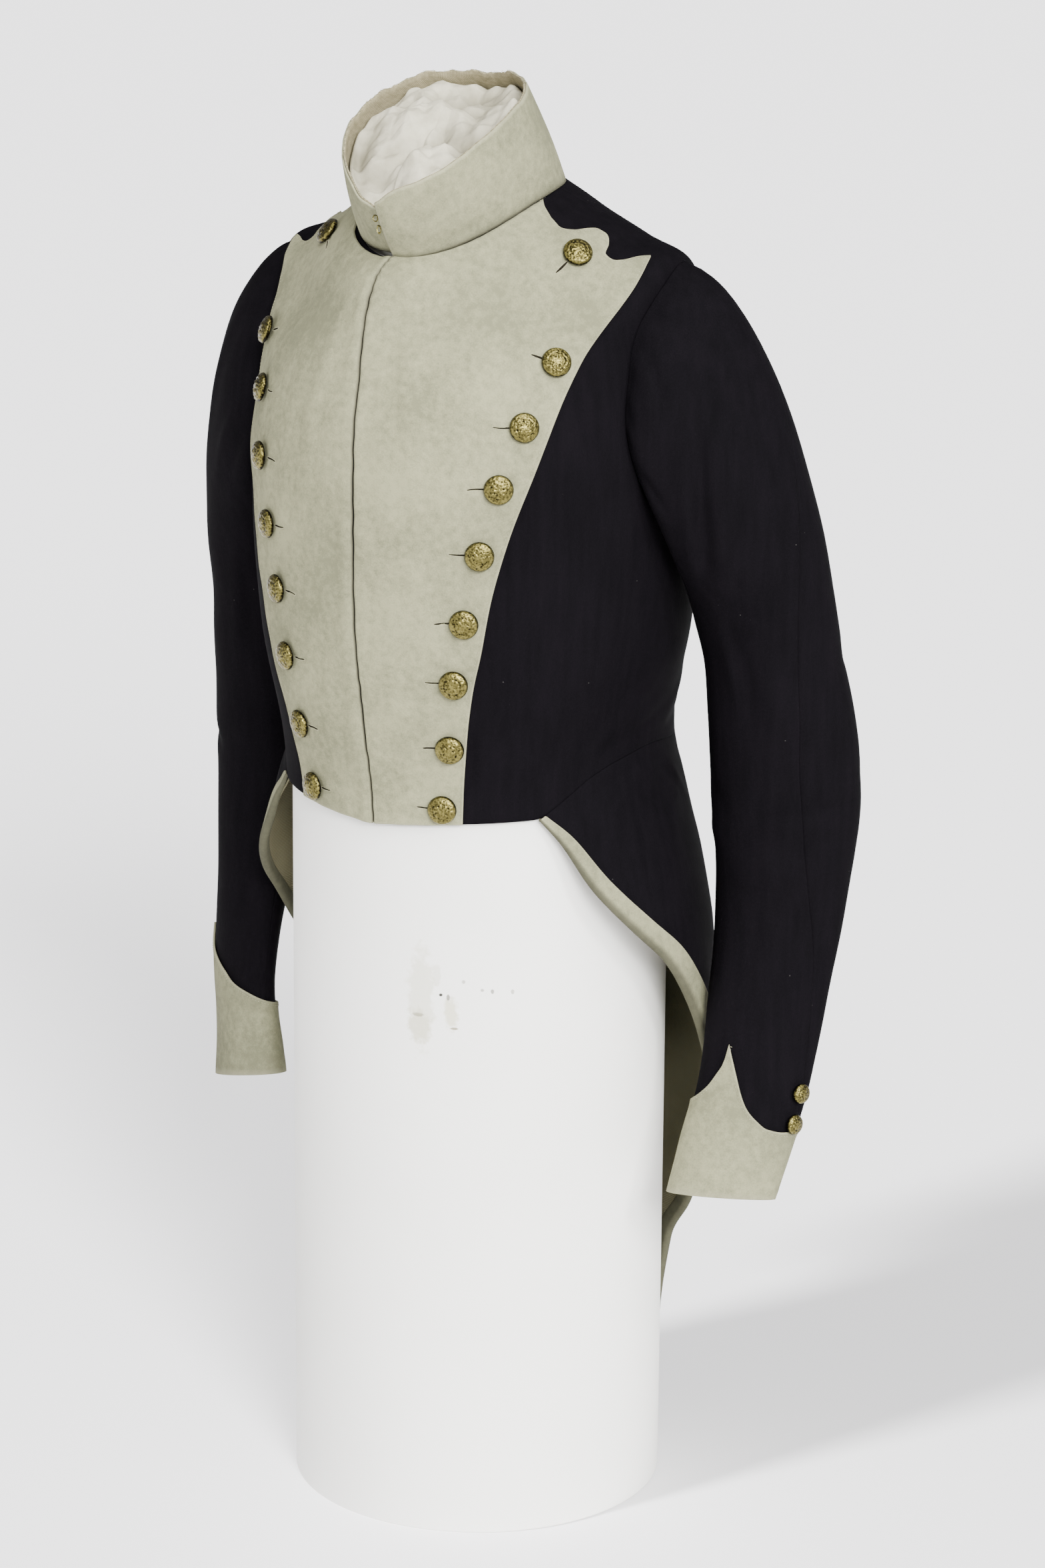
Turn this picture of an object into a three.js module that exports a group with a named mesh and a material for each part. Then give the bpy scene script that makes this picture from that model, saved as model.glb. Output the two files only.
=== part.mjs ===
// A short-fronted military tailcoat of about 1810 in navy broadcloth with off-white facings,
// standing on a painted cylinder with a padded chest form. Millimetres, +Z up.
// Origin: centre of the cylinder's base. The coat faces -Y and its wearer's left is +X.
import * as THREE from 'three';

// ---- driving dimensions ----
const clothWall = 1.8;          // navy broadcloth, fulled wool
const facingWall = 1.5;         // off-white facing cloth
const liningWall = 1.2;         // linen and serge linings
const seamGap = 0.3;            // space between neighbouring pieces
const cylinderRadius = 140;
const cylinderTop = 562;
const lapelButtonRadius = 10.5;
const cuffButtonRadius = 7.5;
const tailHem = 55;             // height of the tails' lower edge
const neckLevel = 13;           // last section of the body table: the collar seam
const formSlack = 6;            // free space between form and cloth at the waist
const shoulderSlack = 4.2;      // the same near the shoulders
const shoulderRest = 0.9;       // the same at the two spots where the coat rests

const colours = {
  navy: 0x14131c, facing: 0xc9c8b8, linen: 0xa89a78, tailLining: 0xb9b7a2,
  brass: 0xb8923f, stand: 0xe9e8e4, stuffing: 0xf1f0ee,
};
const finishes = {
  navy: [0.95, 0], facing: [0.93, 0], linen: [0.95, 0], tailLining: [0.9, 0],
  brass: [0.35, 1], stand: [0.6, 0], stuffing: [0.95, 0],
};

// ---- tables ----
const named = (columns, rows) =>
  rows.map((row) => Object.fromEntries(columns.map((name, i) => [name, row[i]])));

// Body sections from hem to collar seam, each a closed loop through five stations:
// centre front, front quarter, side, back quarter and centre back.
const bodySections = named(
  ['zFront', 'zFrontQuarter', 'zSide', 'zBackQuarter', 'zBack', 'xFrontQuarter', 'xSide', 'xBackQuarter',
    'yFront', 'yFrontQuarter', 'ySide', 'yBackQuarter', 'yBack'],
  [
    [540, 540, 540, 540, 540, 102.2, 144.5, 102.2, -144.5, -102.2, 0, 102.2, 144.5],
    [570, 570, 570, 570, 570, 102.6, 144.5, 102.0, -145.5, -103.0, 0, 102.0, 144.0],
    [600, 600, 600, 600, 600, 106.0, 144.6, 100.8, -150.5, -106.0, 0, 100.8, 142.0],
    [640, 640, 640, 640, 640, 112.0, 152.0, 104.0, -156.0, -111.5, 0, 104.0, 143.0],
    [670, 670, 670, 670, 670, 115.0, 158.0, 107.0, -158.5, -114.5, 0, 107.0, 144.0],
    [720, 720, 720, 720, 720, 117.5, 163.5, 109.0, -161.5, -117.0, 0, 107.5, 142.0],
    [765, 765, 765, 765, 765, 118.5, 166.5, 111.0, -164.0, -118.0, 0, 106.0, 138.0],
    [805, 805, 805, 805, 805, 118.5, 167.0, 113.0, -165.5, -118.0, 0, 103.5, 132.0],
    [845, 845, 845, 845, 845, 115.0, 163.5, 113.5, -162.0, -112.0, 0, 99.0, 126.0],
    [885, 878, 905, 886, 896, 112.0, 161.0, 113.0, -150.5, -101.0, -2, 94.0, 117.0],
    [915, 912, 946, 922, 938, 110.0, 163.0, 110.0, -138.5, -76.0, 0, 84.0, 106.0],
    [932, 934, 960, 955, 966, 90.0, 130.0, 90.0, -129.5, -79.0, -6, 63.0, 92.0],
    [941, 949, 973, 975, 982, 69.0, 98.0, 69.0, -121.5, -84.0, -17, 46.0, 75.0],
    [947, 961, 985.7, 992, 995, 48.6, 68.8, 48.6, -114.0, -89.0, -28.6, 31.7, 56.7],
  ],
);

// Lower edge of the body: hem at the front, waist seam from the cutaway corner to the back.
const waistLine = named(['angle', 'level'], [
  [0, 0.18], [28, 0.34], [49.9, 0.42], [57.8, 0.87], [65.9, 1.34], [76.2, 1.64], [91.2, 1.8],
  [113, 1.62], [180, 1.62],
]);
const cutawayAngle = 49.9;
const waistAngles = [57.8, 65.9, 76.2, 91.2, 113, 137];   // points that body and tails share

// Side-back seam from the waist to the armhole, and the armhole as an oval on the body.
const sideBackSeam = named(['level', 'angle'], [
  [0, 162], [1.6, 161], [2.5, 156], [3.5, 146], [4.5, 130], [5.2, 113], [5.6, 101], [5.85, 93],
]);
const armhole = { angle: 93, front: 23.5, back: 24, level: 7.9, reach: 2.05 };
const shoulderSeam = named(['level', 'angle'], [[9.95, 93], [11, 100], [12, 105], [13, 108]]);

// Outer edge of each lapel; the scalloped shoulder edge is in the last rows.
const lapelEdge = named(['level', 'left', 'right'], [
  [0.1, 27.6, 29.6], [0.4, 27.7, 29.8], [1.3, 28.0, 30.6], [2.3, 28.6, 32.6], [3.1, 29.6, 34.9], [3.7, 30.6, 37],
  [4.3, 32.4, 39.4], [4.9, 34.4, 42], [5.6, 37.4, 44.4], [6.3, 40.8, 47], [7.0, 44.6, 49.9], [7.64, 48.2, 53],
  [8.37, 52.1, 57], [9.17, 57.9, 61.5], [9.64, 62.6, 64.4], [9.96, 67.7, 68], [10.2, 73.6, 73.6],
  [10.36, 79.2, 79.2], [10.48, 76.3, 76.3], [10.61, 71.8, 71.8], [10.74, 70, 70], [10.97, 71.2, 71.2],
  [11.15, 76.6, 76.6], [11.3, 80.3, 80.3], [11.41, 82, 82], [11.62, 83, 83], [11.73, 80.5, 80.5],
  [11.87, 75.9, 75.9], [12.08, 73.5, 73.5], [12.35, 76.2, 76.2], [12.62, 81.7, 81.7], [12.8, 87.2, 87.2],
]);
const lapelButtonPlaces = {
  left: named(['level', 'angle'], [
    [11.29, 64.6], [9.05, 48.8], [7.84, 42.2], [6.81, 36.4], [5.66, 31.9], [4.63, 28], [3.58, 25.3], [2.21, 24.2],
    [0.71, 22.1],
  ]),
  right: named(['level', 'angle'], [
    [11.74, 58.5], [8.99, 53.1], [8, 42.2], [6.87, 36.4], [5.71, 32.6], [4.74, 28.8], [3.66, 26.3], [2.24, 24],
    [0.74, 22.2],
  ]),
};

// Collar: the rim is an oval that climbs from the throat to the nape.
const collarRim = { y: -65, halfWidth: 61, halfDepth: 74, z: 1045.3, climb: 0.478, sag: 0.00248 };
const collarEnds = { left: -1.2, right: 358.2 };
const collarDroop = { rim: 14, tuck: 4.5, span: 42 };

// Tails: cutaway edge, and how far the skirt stands out from the waist seam below it.
const cutawayEdge = named(['down', 'angle', 'z'], [
  [0, 49.9, 552.6], [0.05, 56, 535], [0.12, 64.5, 499], [0.19, 74.5, 467], [0.26, 84.5, 439], [0.33, 92.5, 409],
  [0.41, 100.6, 376], [0.52, 114, 322], [0.66, 131, 250], [0.76, 140, 195], [0.84, 149, 156], [1, 152, 55],
]);
const skirtFlare = named(['drop', 'out'], [
  [0, 0], [15, 2.5], [30, 6.5], [60, 14], [90, 22], [120, 27.5], [150, 31.5], [200, 34], [300, 34.5], [345, 32.5],
  [392, 28], [431, 24], [482, 19], [540, 17],
]);
const turnbackWidth = named(['down', 'width'], [
  [0, 5], [0.05, 9], [0.12, 13], [0.26, 18], [0.39, 25], [0.5, 30], [1, 34],
]);
const backPleat = { line: 0.845, step: 4, width: 0.02 };   // line as a share of the tail's width

// Sleeves hang from the armholes; sections are flattened ovals whose long axis is turned
// towards the elbow. x is measured outwards from the middle of the coat.
const sleeveColumns = ['z', 'x', 'y', 'long', 'short', 'foreSeam', 'hindSeam'];
const sleeveSections = {
  left: named(sleeveColumns, [
    [690, 216, 41, 52.0, 44.0, 50, 146], [655, 219, 50, 51.0, 44.0, 48, 139], [620, 222, 54.5, 53.0, 45.0, 45, 135],
    [585, 224, 59, 54.7, 44.0, 42, 131], [550, 225, 61.5, 54.5, 43.0, 40, 132], [515, 225, 61.5, 51.5, 40.0, 38, 136],
    [480, 223, 62, 48.6, 36.0, 36, 144], [440, 221, 58.5, 46.0, 31.0, 34, 157], [400, 219, 51, 44.0, 28.0, 32, 167],
    [360, 217, 44, 42.0, 26.0, 30, 176], [330, 216, 35, 41.0, 25.0, 30, 184], [300, 214.3, 20.3, 40.5, 24.0, 30, 188],
    [262, 211.5, 2, 38.0, 22.0, 30, 190],
  ]),
  right: named(sleeveColumns, [
    [690, 215, 30, 52.0, 44.0, 50, 190], [655, 218, 39, 51.0, 44.0, 48, 192], [620, 221, 46, 53.0, 45.0, 45, 196],
    [585, 224, 50, 54.5, 44.0, 42, 200], [550, 225.5, 51, 54.0, 43.0, 40, 204], [515, 226, 48, 51.5, 39.5, 38, 206],
    [480, 226, 39, 48.0, 34.0, 36, 208], [440, 225, 26, 46.0, 26.5, 34, 210], [400, 223, 13, 44.0, 21.0, 32, 212],
    [360, 219.6, 3, 41.0, 18.5, 30, 214], [330, 214.5, -3, 40.5, 18.5, 30, 216], [300, 210, -6, 41.0, 20.5, 30, 216],
    [281, 207.5, -8, 41.0, 22.0, 30, 216],
  ]),
};
const rightShoulder = { from: 60, to: 150, low: 860, high: 945, drop: 9 };
const sleeveTurn = THREE.MathUtils.degToRad(32.2);
const wristTilt = { left: { x: 0.09, y: -0.25 }, right: { x: -0.21, y: -0.19 }, from: 9 };   // rise of the wrist's plane
const armholeSeams = { fore: 52, hind: 236 };
const sleeveHead = {
  left: { leave: 165, leaveSwing: 95, arrive: 120, arriveSwing: 55 },
  right: { leave: 158, leaveSwing: 72, arrive: 120, arriveSwing: 55 },
};

// Cuffs: height of the top edge above the wrist, round the sleeve from its body side.
const cuffTop = {
  left: named(['angle', 'height'], [
    [0, 60], [30, 62], [46, 65], [62, 70.5], [78, 83.5], [94, 110], [110, 83], [126, 62], [142, 52], [158, 46],
    [174, 44], [190, 44], [220, 46], [300, 56], [360, 60],
  ]),
  right: named(['angle', 'height'], [
    [0, 59], [30, 63], [48.6, 66], [67.2, 69.5], [85.8, 72], [104.4, 76], [123, 81.5], [141.6, 87], [160.2, 92.5],
    [178.8, 106], [197.4, 78], [216, 60], [240, 52], [300, 53], [345, 57], [360, 59],
  ]),
};

// ---- interpolation ----
const lerp = THREE.MathUtils.lerp;
const degrees = THREE.MathUtils.degToRad;
const clamp = THREE.MathUtils.clamp;
const smoothStep = (x, from, to) => THREE.MathUtils.smoothstep(x, from, to);

function hermite(a, slopeA, b, slopeB, f) {
  const f2 = f * f;
  const f3 = f2 * f;
  return (2 * f3 - 3 * f2 + 1) * a + (f3 - 2 * f2 + f) * slopeA + (3 * f2 - 2 * f3) * b + (f3 - f2) * slopeB;
}

// Value of a column at a section number that may fall between two rows.
function atSection(rows, column, position) {
  const last = rows.length - 1;
  const i = clamp(Math.floor(position), 0, last - 1);
  const value = (k) => rows[k][column];
  const step = value(i + 1) - value(i);
  const slopeA = i > 0 ? (value(i + 1) - value(i - 1)) / 2 : step;
  const slopeB = i < last - 1 ? (value(i + 2) - value(i)) / 2 : step;
  return hermite(value(i), slopeA, value(i + 1), slopeB, position - i);
}

// Value of a column where another column has the given value, straight between rows.
function atValue(rows, key, column, x) {
  const rising = rows[rows.length - 1][key] > rows[0][key];
  let i = 0;
  while (i < rows.length - 2 && (rising ? x > rows[i + 1][key] : x < rows[i + 1][key])) i += 1;
  const f = clamp((x - rows[i][key]) / (rows[i + 1][key] - rows[i][key]), 0, 1);
  return lerp(rows[i][column], rows[i + 1][column], f);
}

// Smooth loops through stations 45 degrees apart: even for y and z, odd for x.
function evenLoop(stations, angle) {
  let sum = 0;
  for (let k = 0; k <= 4; k += 1) {
    let weight = 0;
    stations.forEach((value, j) => {
      weight += (j % 4 === 0 ? 0.5 : 1) * value * Math.cos((Math.PI * k * j) / 4);
    });
    sum += weight * (k % 4 === 0 ? 0.25 : 0.5) * Math.cos(k * angle);
  }
  return sum;
}
function oddLoop(stations, angle) {
  let sum = 0;
  for (let k = 1; k <= 3; k += 1) {
    let weight = 0;
    stations.forEach((value, j) => {
      weight += value * Math.sin((Math.PI * k * (j + 1)) / 4);
    });
    sum += weight * 0.5 * Math.sin(k * angle);
  }
  return sum;
}

// ---- the body's surface: angle round from the centre front, level up from the hem ----
function bodyPoint(angle, level) {
  const at = (column) => atSection(bodySections, column, level);
  const a = degrees(angle);
  return new THREE.Vector3(
    oddLoop([at('xFrontQuarter'), at('xSide'), at('xBackQuarter')], a),
    evenLoop([at('yFront'), at('yFrontQuarter'), at('ySide'), at('yBackQuarter'), at('yBack')], a),
    evenLoop([at('zFront'), at('zFrontQuarter'), at('zSide'), at('zBackQuarter'), at('zBack')], a),
  );
}
function bodyNormal(angle, level) {
  const around = bodyPoint(angle + 0.5, level).sub(bodyPoint(angle - 0.5, level));
  const low = clamp(level - 0.05, 0, neckLevel - 0.1);
  const up = bodyPoint(angle, low + 0.1).sub(bodyPoint(angle, low));
  return around.cross(up).normalize();
}
const waistLevel = (angle) => atValue(waistLine, 'angle', 'level', Math.abs(angle));

// ---- walls ----
// A wall is a grid of {point, normal}; its outer face is lifted by top, its inner face lies
// below by the thickness. A closed wall meets itself and has rims only at its two ends.
function wall(grid, top, thickness, closed = false) {
  const rows = grid.length;
  const columns = grid[0].length;
  const positions = [];
  for (const lift of [top, top - thickness]) {
    for (const row of grid) {
      for (const { point, normal } of row) {
        positions.push(point.x + normal.x * lift, point.y + normal.y * lift, point.z + normal.z * lift);
      }
    }
  }
  const inner = rows * columns;
  const id = (i, j) => i * columns + (j % columns);
  const faces = [];
  const quad = (a, b, c, d) => faces.push(a, b, c, a, c, d);
  const lastColumn = closed ? columns : columns - 1;
  for (let i = 0; i < rows - 1; i += 1) {
    for (let j = 0; j < lastColumn; j += 1) {
      quad(id(i, j), id(i, j + 1), id(i + 1, j + 1), id(i + 1, j));
      quad(inner + id(i, j), inner + id(i + 1, j), inner + id(i + 1, j + 1), inner + id(i, j + 1));
    }
  }
  for (let j = 0; j < lastColumn; j += 1) {
    quad(id(0, j), inner + id(0, j), inner + id(0, j + 1), id(0, j + 1));
    quad(id(rows - 1, j), id(rows - 1, j + 1), inner + id(rows - 1, j + 1), inner + id(rows - 1, j));
  }
  if (!closed) {
    for (let i = 0; i < rows - 1; i += 1) {
      quad(id(i, 0), id(i + 1, 0), inner + id(i + 1, 0), inner + id(i, 0));
      const j = columns - 1;
      quad(id(i, j), inner + id(i, j), inner + id(i + 1, j), id(i + 1, j));
    }
  }
  return outward(positions, faces);
}

// Geometry from positions and faces, turned so that the faces point out.
function outward(positions, faces) {
  const corner = (k) => new THREE.Vector3(...positions.slice(3 * k, 3 * k + 3));
  let volume = 0;
  for (let f = 0; f < faces.length; f += 3) {
    volume += corner(faces[f]).dot(corner(faces[f + 1]).cross(corner(faces[f + 2])));
  }
  const turned = faces.slice();
  if (volume < 0) {
    for (let f = 0; f < turned.length; f += 3) [turned[f + 1], turned[f + 2]] = [turned[f + 2], turned[f + 1]];
  }
  const geometry = new THREE.BufferGeometry();
  geometry.setAttribute('position', new THREE.Float32BufferAttribute(positions, 3));
  geometry.setIndex(turned);
  geometry.computeVertexNormals();
  return geometry;
}

// The other side of the coat: x turned over. The right shoulder hangs a little lower.
function overPoint(point) {
  const { from, to, low, high, drop } = rightShoulder;
  const fall = drop * smoothStep(point.x, from, to) * smoothStep(point.z, low, high);
  return new THREE.Vector3(-point.x, point.y, point.z - fall);
}
function mirrored(geometry) {
  const source = geometry.getAttribute('position').array;
  const positions = [];
  for (let k = 0; k < source.length; k += 3) {
    positions.push(...overPoint(new THREE.Vector3(source[k], source[k + 1], source[k + 2])).toArray());
  }
  return outward(positions, Array.from(geometry.getIndex().array));
}

// Evenly spaced numbers, and the same shares of the width for every row of a grid.
const spread = (from, to, count) => Array.from({ length: count + 1 }, (_, k) => lerp(from, to, k / count));
const even = (count) => () => spread(0, 1, count);

// Grid on the body between two edges that depend on the level. The lowest rows bend down
// to the waist line.
const waistBlend = 3;
function bodyGrid(levels, edgeA, edgeB, shares, lift = () => 0) {
  return levels.map((row) => shares(row).map((share) => {
    const angle = lerp(edgeA(row), edgeB(row), share);
    const base = waistLevel(angle);
    const level = row < waistBlend ? base + (waistBlend - base) * (row / waistBlend) : row;
    const normal = bodyNormal(angle, level);
    return { point: bodyPoint(angle, level).addScaledVector(normal, lift(angle, level)), normal };
  }));
}

// Grid on any surface given as a function of two numbers, with its normals by differences.
function surfaceGrid(surface, downs, acrosses, outwardSign) {
  const step = 1e-3;
  return downs.map((v) => acrosses.map((u) => {
    const du = surface(u + step, v).sub(surface(u - step, v));
    const dv = surface(u, Math.min(v + step, 1)).sub(surface(u, Math.max(v - step, 0)));
    return { point: surface(u, v), normal: du.cross(dv).normalize().multiplyScalar(outwardSign) };
  }));
}

// ---- group and materials ----
const coat = new THREE.Group();
function material(finish) {
  const [roughness, metalness] = finishes[finish];
  return new THREE.MeshStandardMaterial({ color: colours[finish], roughness, metalness });
}
function add(name, geometry, finish) {
  const mesh = new THREE.Mesh(geometry, material(finish));
  mesh.name = name;
  coat.add(mesh);
  return mesh;
}
function addPair(name, geometry, finish) {
  add(`${name}_left`, geometry, finish);
  add(`${name}_right`, mirrored(geometry), finish);
}

// ---- fronts and backs ----
const halfSeam = 0.055;          // half of the seam gap as an angle round the body
const armholeLow = armhole.level - armhole.reach;
const armholeHigh = armhole.level + armhole.reach;
const armholeOval = (level, halfWidth) => {
  const f = clamp((level - armhole.level) / armhole.reach, -1, 1);
  return halfWidth * Math.sqrt(1 - f * f);
};
function frontEdge(level) {
  if (level <= armholeLow) return atValue(sideBackSeam, 'level', 'angle', level) - halfSeam;
  if (level < armholeHigh) return armhole.angle - armholeOval(level, armhole.front) - halfSeam;
  return atValue(shoulderSeam, 'level', 'angle', level) - halfSeam;
}
function backEdge(level) {
  if (level <= armholeLow) return atValue(sideBackSeam, 'level', 'angle', level) + halfSeam;
  if (level < armholeHigh) return armhole.angle + armholeOval(level, armhole.back) + halfSeam;
  return atValue(shoulderSeam, 'level', 'angle', level) + halfSeam;
}
const lapelLift = seamGap + facingWall;
const lapelColumns = even(4);
const frontOpening = 0.75;
const closure = 0.07;
const lapelTop = 12.8;
const armholeSteps = 8;
const armholeRows = spread(0, Math.PI, armholeSteps).map((a) => armhole.level - armhole.reach * Math.cos(a));
const bodyRows = [0, 0.9, 1.8, 2.7, 3.6, 4.4, 5.1, 5.55, ...armholeRows,
  10.15, 10.36, 10.61, 10.74, 10.97, 11.3, 11.62, 11.87, 12.08, 12.35, 12.62, lapelTop, neckLevel];
const closureProud = (angle) => 1.3 * Math.exp(-((angle / 3.2) ** 2));

// Columns beside the lapel: at the waist they meet the tail's own points, higher up they
// are evenly spaced.
function sideShares(side) {
  const from = atValue(lapelEdge, 'level', side, 0);
  const to = frontEdge(0);
  const low = [0, 0.5 * (cutawayAngle - from) / (to - from),
    ...[cutawayAngle, ...waistAngles].map((angle) => (angle - from) / (to - from)), 1];
  return (row) => low.map((share, k) => lerp(share, k / (low.length - 1), clamp(row / waistBlend, 0, 1)));
}

// Each front has a line of points under its lapel's edge, and the lapel is made from the
// same points moved out. The left lapel stands a little proud where the two meet.
for (const side of ['left', 'right']) {
  const edge = (level) => atValue(lapelEdge, 'level', side, level);
  const placed = (geometry) => (side === 'left' ? geometry : mirrored(geometry));
  const under = bodyGrid(bodyRows, () => frontOpening, edge, lapelColumns);
  const beside = bodyGrid(bodyRows, edge, frontEdge, sideShares(side));
  const front = under.map((row, i) => [...row, ...beside[i].slice(1)]);
  add(`front_${side}`, placed(wall(front, 0, clothWall)), 'navy');
  const proud = side === 'left' ? closureProud : () => 0;
  const lapelRows = bodyRows.slice(0, -1);
  const lapelEdgeColumn = bodyGrid(lapelRows, () => closure, () => closure, even(1), proud);
  const lapelBody = bodyGrid(lapelRows, () => frontOpening, edge, lapelColumns, proud);
  const lapel = lapelBody.map((row, i) => [lapelEdgeColumn[i][0], ...row]);
  add(`lapel_${side}`, placed(wall(lapel, lapelLift, facingWall)), 'facing');
}
addPair('back', wall(bodyGrid(bodyRows, backEdge, () => 180 - halfSeam, even(5)), 0, clothWall), 'navy');

// ---- collar and its lining ----
function rimPoint(angle) {
  const a = degrees(angle);
  const y = collarRim.y - collarRim.halfDepth * Math.cos(a);
  const back = y - collarRim.y;
  const z = collarRim.z + collarRim.climb * back - collarRim.sag * back * back;
  return new THREE.Vector3(collarRim.halfWidth * Math.sin(a), y, z);
}
function collarPoint(angle, up) {
  const toRightEnd = smoothStep(angle, 360 - collarDroop.span, 360);
  const cornerDrop = 9 * Math.exp(-(((angle - collarEnds.left) / 9) ** 2));
  const foot = bodyPoint(angle, neckLevel).add(new THREE.Vector3(0, 0, seamGap + 2.5 * toRightEnd));
  const rim = rimPoint(angle);
  rim.z -= collarDroop.rim * toRightEnd + cornerDrop;
  const point = foot.clone().lerp(rim, up);
  const bow = 1.6 * Math.sin(Math.PI * up);
  const out = new THREE.Vector3(Math.sin(degrees(angle)), -Math.cos(degrees(angle)), 0);
  return point.addScaledVector(out, bow - collarDroop.tuck * toRightEnd);
}
const collarGrid = surfaceGrid(collarPoint, spread(0, 1, 3), spread(collarEnds.left, collarEnds.right, 30), 1);
add('collar', wall(collarGrid, 0, facingWall), 'facing');
add('collar_lining', wall(collarGrid, -facingWall - seamGap, liningWall), 'linen');

// ---- tails, their linings and turnbacks ----
const edgeAngle = (down) => atValue(cutawayEdge, 'down', 'angle', down);
const backAngle = 180 - halfSeam;
const seamBelow = 0.015;          // the seam gap as a level on the body
const seamPoint = (angle) => bodyPoint(angle, waistLevel(angle) - seamBelow);
function tailPoint(across, down) {
  const angle = lerp(edgeAngle(down), backAngle, across);
  const seam = seamPoint(lerp(cutawayAngle, backAngle, across)).z;
  const edgeRise = atValue(cutawayEdge, 'down', 'z', down) - lerp(seamPoint(cutawayAngle).z, tailHem, down);
  const z = lerp(seam, tailHem, down) + (down > 0 ? (1 - across) * edgeRise : 0);
  const top = seamPoint(angle);
  const drop = Math.max(top.z - z, 0);
  const pleat = backPleat.step * smoothStep(drop, 0, 60)
    * smoothStep(tailLine(across, down), backPleat.line - backPleat.width, backPleat.line);
  const out = atValue(skirtFlare, 'drop', 'out', drop) + pleat;
  const radius = Math.hypot(top.x, top.y) + out;
  const bearing = Math.atan2(top.x, -top.y);
  return new THREE.Vector3(radius * Math.sin(bearing), -radius * Math.cos(bearing), z);
}

// The tail's first columns follow the turnback, which is made from them moved out; the
// lining is made from all of them moved in. A line of the tail keeps its share of the width
// beyond the turnback all the way down.
const turnbackShare = (down) => {
  const width = Math.max(degrees(backAngle - edgeAngle(down)) * 165, 1);
  return atValue(turnbackWidth, 'down', 'width', down) / width;
};
const tailLine = (across, down) => {
  const beyond = (across - turnbackShare(down)) / (1 - turnbackShare(down));
  return turnbackShare(0) + beyond * (1 - turnbackShare(0));
};
const tailAcross = (line, down) => {
  const beyond = (line - turnbackShare(0)) / (1 - turnbackShare(0));
  return turnbackShare(down) + beyond * (1 - turnbackShare(down));
};
const tailDowns = cutawayEdge.map((row) => row.down);
const tailLines = [...waistAngles.map((angle) => (angle - cutawayAngle) / (backAngle - cutawayAngle)),
  backPleat.line - backPleat.width, backPleat.line, 0.92, 1];
const tailGrid = tailDowns.map((down) => {
  const share = turnbackShare(down);
  const acrosses = [0, share / 2, share, ...tailLines.map((line) => tailAcross(line, down))];
  return surfaceGrid(tailPoint, [down], acrosses, -1)[0];
});
addPair('tail', wall(tailGrid, 0, clothWall), 'navy');
addPair('tail_lining', wall(tailGrid, -clothWall - seamGap, liningWall), 'tailLining');
addPair('turnback', wall(tailGrid.map((row) => row.slice(0, 3)), seamGap + facingWall, facingWall), 'facing');

// ---- sleeves ----
// angle: 0 faces the body, 90 the front, 180 outwards, 270 the back.
// along: -1 at the armhole, 0 at the first section, then one for each section.
const sleeveGapAngle = 0.13;
const sleeveGapLevel = 0.009;
function armholeCorner(step) {
  const a = (Math.PI * step) / armholeSteps;
  const halfWidth = (Math.sin(a) > 0 ? armhole.front : armhole.back) - sleeveGapAngle;
  return bodyPoint(armhole.angle - halfWidth * Math.sin(a),
    armhole.level - (armhole.reach - sleeveGapLevel) * Math.cos(a));
}
function armholePoint(angle) {
  const steps = (((angle % 360) + 360) % 360 / 180) * armholeSteps;
  const step = Math.floor(steps);
  return armholeCorner(step).lerp(armholeCorner(step + 1), steps - step);
}
function sleeveSectionPoint(side, angle, section) {
  const rows = sleeveSections[side];
  const at = (column) => atSection(rows, column, section);
  const beta = degrees(angle - 180) - sleeveTurn;
  const long = at('long') * Math.cos(beta);
  const short = at('short') * Math.sin(beta);
  const x = long * Math.cos(sleeveTurn) - short * Math.sin(sleeveTurn);
  const y = long * Math.sin(sleeveTurn) + short * Math.cos(sleeveTurn);
  const tilt = smoothStep(section, wristTilt.from, rows.length - 1);
  const rise = tilt * (wristTilt[side].x * x + wristTilt[side].y * y);
  return new THREE.Vector3(at('x') + x, at('y') + y, at('z') + rise);
}
function sleevePoint(side, angle, along) {
  if (along >= 0) return sleeveSectionPoint(side, angle, along);
  const f = along + 1;
  const a = degrees(angle);
  const head = sleeveHead[side];
  const start = armholePoint(angle);
  const end = sleeveSectionPoint(side, angle, 0);
  const leave = new THREE.Vector3(0.7 - 0.3 * Math.cos(a), -0.3 * Math.sin(a), -0.65 - 0.25 * Math.cos(a))
    .normalize().multiplyScalar(head.leave - head.leaveSwing * Math.cos(a));
  const arrive = sleeveSectionPoint(side, angle, 0.5).sub(end)
    .normalize().multiplyScalar(head.arrive - head.arriveSwing * Math.cos(a));
  const axis = (name) => hermite(start[name], leave[name], end[name], arrive[name], f);
  return new THREE.Vector3(axis('x'), axis('y'), axis('z'));
}
const sleeveSeam = (side, name, along) => {
  const column = name === 'fore' ? 'foreSeam' : 'hindSeam';
  if (along >= 0) return atSection(sleeveSections[side], column, along);
  return lerp(sleeveSections[side][0][column], armholeSeams[name], (-along) ** 1.3);
};
const headRows = [-1, -0.9, -0.78, -0.64, -0.5, -0.34, -0.17];
const sleeveEnd = sleeveSections.left.length - 1;
const aboveCuff = 8;             // last section above the cuff
const sleeveAlongs = [...headRows, ...spread(0, aboveCuff, aboveCuff)];
const cuffShares = [1, 0.66, 0.33, 0];   // lines of the cuff from its top edge to the wrist
const aboveShare = 1.5;          // the sleeve's line halfway from there to the last section
const sleeveHalfSeam = 0.2;      // half a seam gap as an angle round the sleeve
const sleeveColumnCount = 10;
const topShares = spread(0, 1, sleeveColumnCount);
const topAngle = (side, share, along) => lerp(
  sleeveSeam(side, 'fore', along) + sleeveHalfSeam,
  sleeveSeam(side, 'hind', along) - sleeveHalfSeam,
  share,
);
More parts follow.
